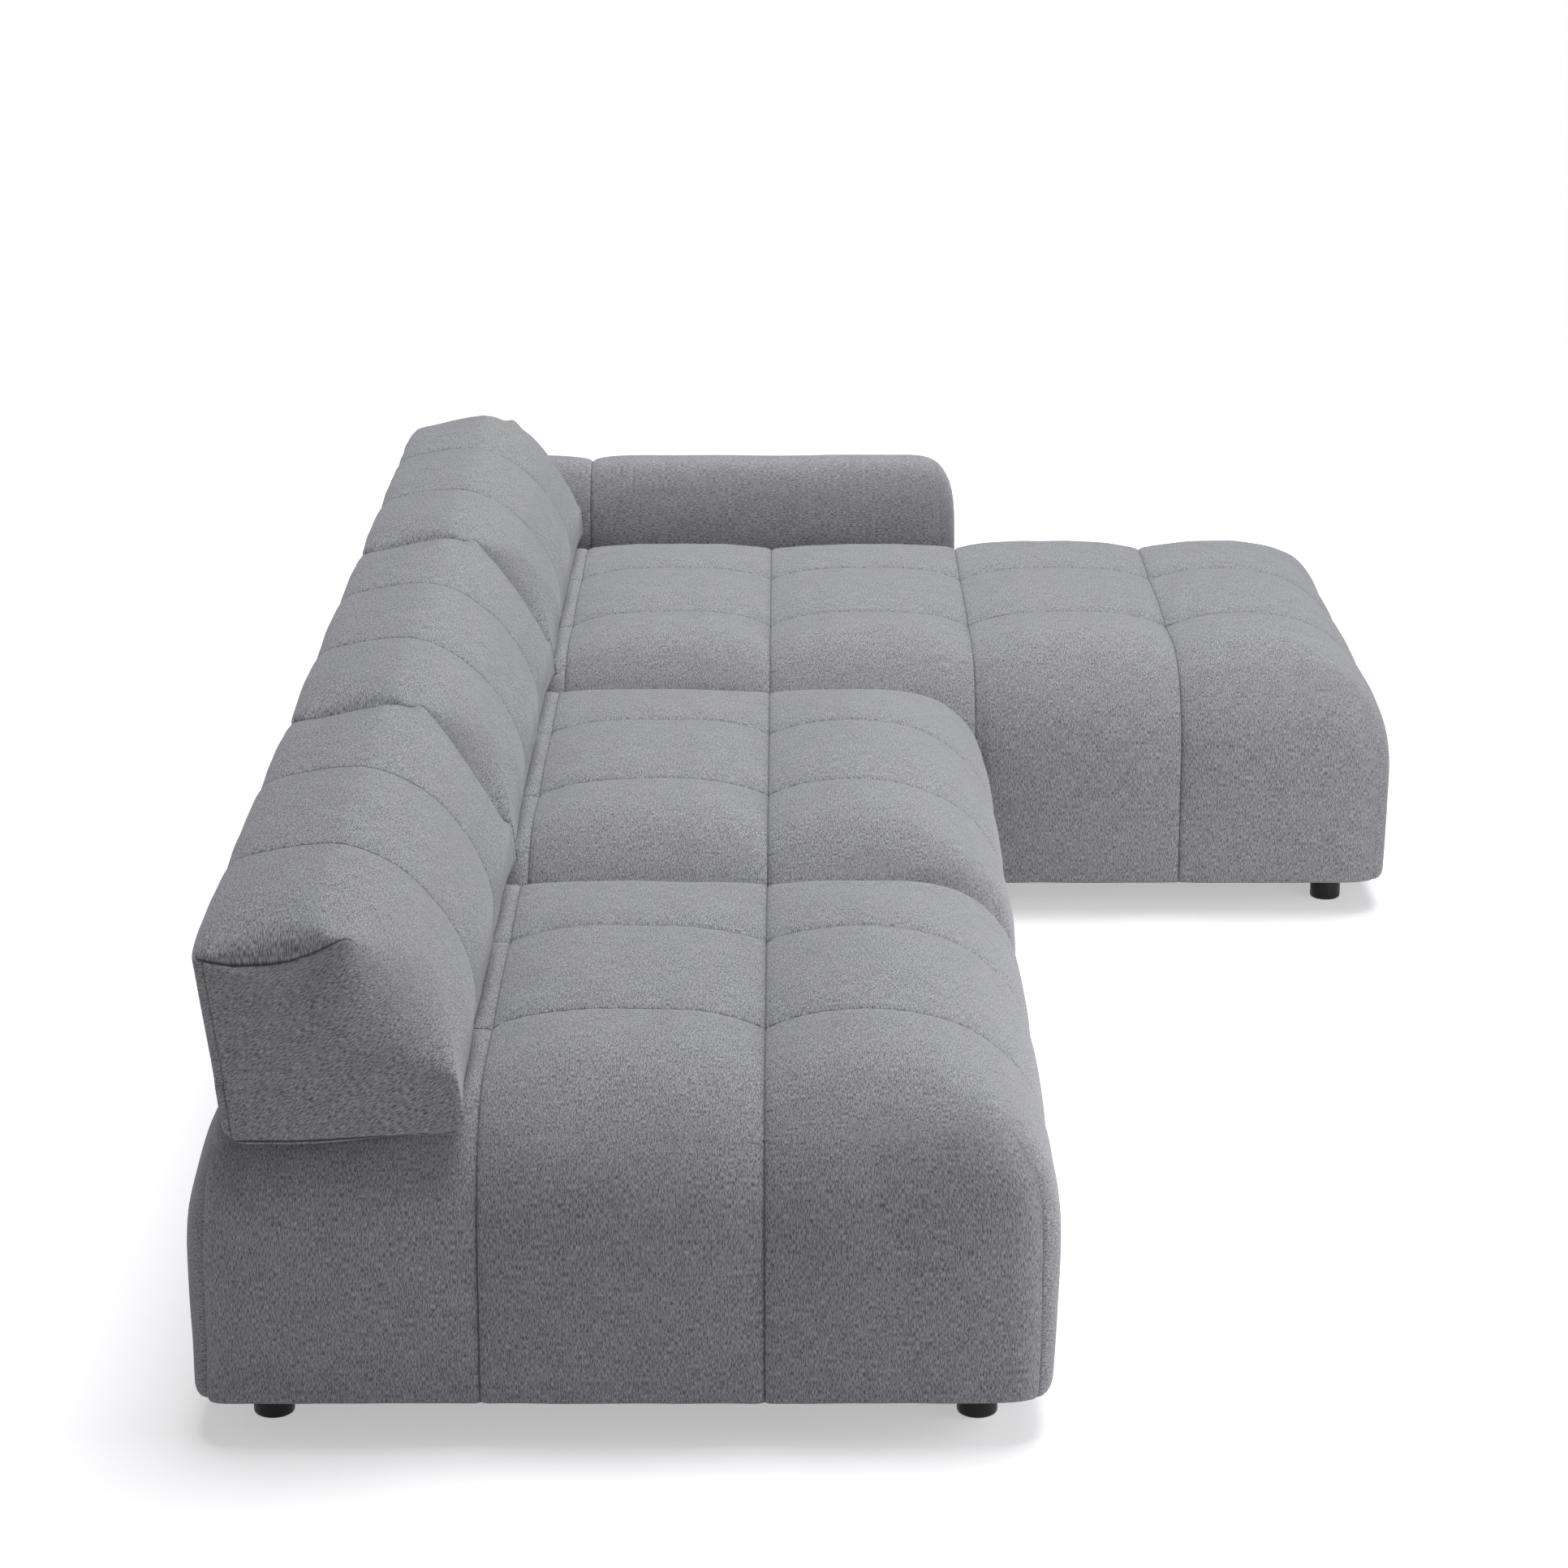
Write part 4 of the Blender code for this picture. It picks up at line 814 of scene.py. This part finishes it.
# name, whether a neighbour holds its right and its left end, how far the left dart's tip sinks
BACKS = (
    ("end_back", False, True, 0.001),
    ("middle_back", True, True, 0.001),
    ("chaise_back", True, True, 0.008),
)
for number, (back_name, held_right, held_left, far_tip) in enumerate(BACKS):
    back_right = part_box(back_name + "_board")[0].y - BOARD_INSET
    board_low, board_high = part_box(back_name + "_board")
    board_top = board_high.z + BOARD_ROOM
    hollow = (
        (board_low.x - SEAT_REAR - BOARD_ROOM, BOARD_SIDE, BACK_LOW[2]),
        (board_high.x - SEAT_REAR + BOARD_ROOM, MODULE_WIDTH - BOARD_SIDE, board_top),
    )
    cells = (
        walls([BACK_LOW[0], BACK_HIGH[0]], [BACK_CREST, hollow[0][0], hollow[1][0]], BACK_CELLS[0]),
        walls([0, *LINES, MODULE_WIDTH], [hollow[0][1], hollow[1][1]], BACK_CELLS[1]),
        walls([BACK_LOW[2], BACK_HIGH[2]], [hollow[1][2]], BACK_CELLS[2]),
    )
    points, faces, sides = block_skin(cells, [hollow])
    weave = back_weave(points, faces, sides)
    form, seam, stitch = back_form(
        points, hollow, held_right, held_left, far_tip, BACK_SEED + number
    )
    form += (SEAT_REAR, back_right, 0)
    wedge = upholstery(back_name + "_upholstery", form, faces, weave, seam, stitch, cloth)
    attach(wedge, back_name)
    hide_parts(back_name + "_cover")

# Armrest. Foam over a hollow box of boards, in the same cloth with its thread lines along the
# arm: one upright seam where the backrest's front comes, and a dart at each upright corner.
ARM_LOW = np.array((0.0, 0.0, SEAT_BOTTOM))
ARM_HIGH = np.array((3 * PANEL_DEPTH - 0.002, 0.220, 0.533))
ARM_ROUND_LOW = np.array((0.075, 0.105, 0.0))
ARM_ROUND_HIGH = np.array((0.086, 0.105, 0.150))
ARM_SECTION_POWER = 2.3
ARM_END_POWER = 3.3
ARM_END_CROWN = 0.010
ARM_SIDE_CROWN = 0.012
ARM_TOP_CROWN = 0.007
ARM_END_PAD = 4
ARM_LUMPS = (0.0012, 7, 0.10, 0.30)  # height, how many, length of the shortest and longest
ARM_PUCKERS = (0.0006, 0.021)
ARM_PULL = (1.0, 0.01)
ARM_SEAM_CUT = ((0.0035, 0.0035), (0.0022, 0.014))
ARM_DART_CUT = ((0.0025, 0.003), (0.002, 0.022))
ARM_DART_HEIGHT = (0.42, 0.52)
ARM_WALL = 0.050
ARM_FRAME_INSET = 0.0503
ARM_CELLS = (0.010, 0.008, 0.010)
ARM_SEED = 80


def arm_form(points, seed):
    """The arm's skin: a box whose upper long edges are rounded together by one power and then
    its ends by a larger one; it swells between the seam and its ends, and its long side is
    flat where the chaise presses on it."""
    low, high = ARM_LOW, ARM_HIGH
    on_end, on_side, on_top = on_faces(points, low, high)
    outside = on_end | on_side | on_top
    under, inner, share, skin = underside(
        points, low, high, (POCKET_WALL, ARM_WALL), (high[0] - POCKET_WALL, high[1] - ARM_WALL),
        outside,
    )
    x, y, z = skin.T
    form, outward = rounded(
        skin, low, high, ARM_ROUND_LOW, ARM_ROUND_HIGH, (1, 2), ARM_SECTION_POWER, ARM_END_POWER
    )
    before_seam = pad(x, PANEL_DEPTH, VALLEY_PAD)
    after_seam = pad(x - PANEL_DEPTH, high[0] - PANEL_DEPTH, WHOLE_PAD)
    along = np.where(x < PANEL_DEPTH, before_seam, after_seam)
    along = np.where(x > 0.8 * high[0], 1, along)
    rise = z - low[2]
    swelled = swelling(rise)
    from_seam = np.where(on_end, 1.0, np.abs(x - PANEL_DEPTH))
    end = ARM_END_CROWN * swelled * pad(y, high[1], ARM_END_PAD)
    side = ARM_SIDE_CROWN * along * swelled * (y > high[1] / 2)
    form += outward * np.stack([end, side, ARM_TOP_CROWN * along], axis=1)
    lumps = ARM_LUMPS[0] * drift(skin, seed, *ARM_LUMPS[1:])
    pulled = puckers(z, ARM_PUCKERS, skin, seed + 1) * groove(from_seam, ARM_PULL)
    form += outward * (lumps + pulled - groove(from_seam, *ARM_SEAM_CUT))[:, None]
    to_corner = from_corner(skin, low, high, on_end, on_top)
    drawn = 1 - ease(z, *ARM_DART_HEIGHT)
    ways = [np.where(x < high[0] / 2, 1, -1), np.where(y < high[1] / 2, 1, -1), 0 * x]
    dart = 0.7 * groove(to_corner, *ARM_DART_CUT) * drawn
    form += np.stack(ways, axis=1) * dart[:, None]
    form -= outward * (1, 1, 0) * hem_turn(rise)[:, None]
    form[:, 1] = np.maximum(form[:, 1], CLEARANCE)
    form[under, :2] = inner[under, :2] + (form - inner)[under, :2] * share[under, None]
    form[under, 2] = low[2]
    form[~outside & ~under] = points[~outside & ~under]
    # painted shade along the upright seam and the darts
    seam = np.where(outside, np.minimum(from_seam, dart_shade_distance(to_corner, drawn)), 1.0)
    return form, seam, np.ones(len(points))


frame_low, frame_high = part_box("arm_frame")
arm_right = frame_low.y - ARM_FRAME_INSET
arm_hollow = (
    (POCKET_WALL, ARM_WALL, SEAT_BOTTOM),
    (ARM_HIGH[0] - POCKET_WALL, ARM_HIGH[1] - ARM_WALL, frame_high.z + BOARD_ROOM),
)
cells = (
    walls([0, PANEL_DEPTH, ARM_HIGH[0]], [arm_hollow[0][0], arm_hollow[1][0]], ARM_CELLS[0]),
    walls([0, ARM_HIGH[1]], [arm_hollow[0][1], arm_hollow[1][1]], ARM_CELLS[1]),
    walls([SEAT_BOTTOM, ARM_HIGH[2]], [arm_hollow[1][2]], ARM_CELLS[2]),
)
points, faces, sides = block_skin(cells, [arm_hollow])
weave = block_weave(points, faces, sides, ARM_HIGH)[:, :, ::-1]
form, seam, stitch = arm_form(points, ARM_SEED)
form += (SEAT_REAR, arm_right, 0)
arm = upholstery("arm_upholstery", form, faces, weave, seam, stitch, cloth)
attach(arm, "base")
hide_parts("arm_cover")

# Feet. Turned feet of black moulded plastic, satin, with a soft lower edge and a felt glide
# let into the sole. Each screws up into the frame with its stud, which stays hidden there.
FOOT_PROFILE = (  # radius, height: from the sole's middle round the outside to the stud's tip
    (0.0, 0.0012), (0.0185, 0.0012), (0.019, 0.0008), (0.019, 0.0), (0.0205, 0.0),
    (0.0225, 0.0004), (0.024, 0.0014), (0.0248, 0.003), (0.025, 0.005), (0.025, 0.0455),
    (0.0247, 0.046), (0.0247, 0.047), (0.025, 0.0475), (0.025, 0.0525), (0.0247, 0.0534),
    (0.0238, 0.054), (0.006, 0.054), (0.004, 0.054), (0.004, 0.073), (0.0033, 0.0738),
    (0.0, 0.0738),
)
SHARP_EDGE = 35


def turned(profile, middle, steps=56):
    """A profile of radius and height carried round an upright line: each point of it goes
    round a circle in equal steps, and the first and last points close it on the line."""
    radius, height = np.array(profile[1:-1]).T
    angle = np.linspace(0, 2 * math.pi, steps, endpoint=False)
    ring = np.stack([np.cos(angle), np.sin(angle)], axis=1)
    level = np.broadcast_to(height[:, None, None], (len(radius), steps, 1))
    body = np.concatenate([ring[None] * radius[:, None, None], level], axis=2).reshape(-1, 3)
    points = np.concatenate([body, [(0, 0, profile[0][1])], [(0, 0, profile[-1][1])]])
    number = np.arange(len(radius) * steps).reshape(len(radius), steps)
    right = np.roll(number, -1, axis=1)
    quads = np.stack([number[:-1], right[:-1], right[1:], number[1:]], axis=2).reshape(-1, 4)
    sole = np.stack([right[0], number[0], np.full(steps, len(points) - 2)], axis=1)
    tip = np.stack([number[-1], right[-1], np.full(steps, len(points) - 1)], axis=1)
    return points + (*middle, 0), quads.tolist() + sole.tolist() + tip.tolist()


def solid_nodes(name):
    """A new node material, its tree and shader, and the coordinates of its object."""
    made, tree, shader = material_nodes(name)
    return made, tree, shader, added(tree, "TexCoord", {}).outputs["Object"]


plastic, tree, shader, place = solid_nodes("satin_black_plastic")
grain = added(tree, "TexNoise", {"Vector": place, "Scale": 900.0, "Detail": 3.0}).outputs["Fac"]
tint = added(tree, "Mix", {
    "Factor": grain, "A": (0.0130, 0.0130, 0.0134, 1), "B": (0.0190, 0.0190, 0.0194, 1),
}, data_type="RGBA")
feed(tree, shader, {
    "Base Color": tint.outputs["Result"], "Normal": bumped(tree, grain, 0.15, 0.0002),
    "Roughness": 0.42, "Specular IOR Level": 0.3,
})
for node_name in sorted(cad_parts):
    if "_foot_" not in node_name:
        continue
    foot_low, foot_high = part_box(node_name)
    middle = ((foot_low.x + foot_high.x) / 2, (foot_low.y + foot_high.y) / 2)
    points, faces = turned(FOOT_PROFILE, middle)
    mesh = bpy.data.meshes.new(node_name + "_turned")
    mesh.from_pydata(points.tolist(), [], faces)
    mesh.polygons.foreach_set("use_smooth", np.ones(len(mesh.polygons), bool))
    mesh.set_sharp_from_angle(angle=math.radians(SHARP_EDGE))
    mesh.materials.append(plastic)
    turned_foot = placed(node_name + "_turned", mesh)
    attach(turned_foot, "base")
    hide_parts(node_name)

# Frames. Rails, backrest boards and the arm's box are cut from birch plywood: pale faces with
# long darker streaks of grain, glued and stapled together, and left raw under the cloth.


def dress(words, finish):
    """Gives a finish to every carried-over CAD piece whose name has one of the words."""
    for name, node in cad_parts.items():
        if any(word in name for word in words) and not node.hide_render:
            node.data.materials.clear()
            node.data.materials.append(finish)


def ramp(tree, share, first, second):
    """A colour between two, each given with the share at which it is reached."""
    node = added(tree, "ValToRGB", {"Fac": share})
    for element, (reached, colour) in zip(node.color_ramp.elements, (first, second)):
        element.position = reached
        element.color = (*colour, 1)
    return node.outputs["Color"]


birch, tree, shader, place = solid_nodes("birch_plywood")
stretched = added(tree, "Mapping", {"Vector": place, "Scale": (4.0, 4.0, 120.0)})
plies = added(tree, "TexNoise", {
    "Vector": stretched.outputs["Vector"], "Scale": 1.0, "Detail": 5.0, "Distortion": 0.6,
}).outputs["Fac"]
feed(tree, shader, {
    "Base Color": ramp(tree, plies, (0.30, (0.42, 0.27, 0.14)), (0.62, (0.66, 0.49, 0.31))),
    "Normal": bumped(tree, plies, 0.25, 0.0004), "Roughness": 0.62,
})
dress(("_rail", "_board", "arm_frame"), birch)

# Webbing. Woven elastic straps, sand-coloured with darker rubber lines along them, stapled to
# the rails and sewn where they cross.
elastic, tree, shader, place = solid_nodes("sand_elastic_webbing")
waves = {"Vector": place, "Scale": 95.0, "Distortion": 0.4}
ribs = [
    added(tree, "TexWave", waves, bands_direction=direction).outputs["Fac"]
    for direction in ("X", "Y")
]
crossed = added(tree, "Math", dict(enumerate(ribs)), operation="MULTIPLY").outputs[0]
feed(tree, shader, {
    "Base Color": ramp(tree, crossed, (0.0, (0.26, 0.22, 0.17)), (1.0, (0.60, 0.55, 0.46))),
    "Normal": bumped(tree, crossed, 0.5, 0.0005), "Roughness": 0.85,
})
dress(("_webbing",), elastic)

# Steel. Socket tubes, the backrests' tongue bars and the links under the modules are plain
# steel with a bright zinc coat: faintly clouded, with fine drawn lines.
zinc, tree, shader, place = solid_nodes("bright_zinc_steel")
spangle = added(tree, "TexNoise", {"Vector": place, "Scale": 60.0, "Detail": 6.0}).outputs["Fac"]
zinc_gloss = added(tree, "MapRange", {"Value": spangle, "To Min": 0.28, "To Max": 0.46})
feed(tree, shader, {
    "Base Color": ramp(tree, spangle, (0.0, (0.50, 0.52, 0.54)), (1.0, (0.70, 0.71, 0.72))),
    "Roughness": zinc_gloss.outputs["Result"], "Metallic": 1.0,
})
dress(("_sockets", "_tongues", "link_"), zinc)

# Dust covers. Thin black non-woven cloth stapled under each seat, with a pressed pattern of
# small points.
lining, tree, shader, place = solid_nodes("black_dust_lining")
pressed = added(tree, "TexVoronoi", {"Vector": place, "Scale": 550.0}).outputs["Distance"]
feed(tree, shader, {
    "Base Color": ramp(tree, pressed, (0.0, (0.016, 0.016, 0.018)), (1.0, (0.050, 0.050, 0.054))),
    "Normal": bumped(tree, pressed, 0.3, 0.0003), "Roughness": 0.93,
})
dress(("_dust_cover",), lining)
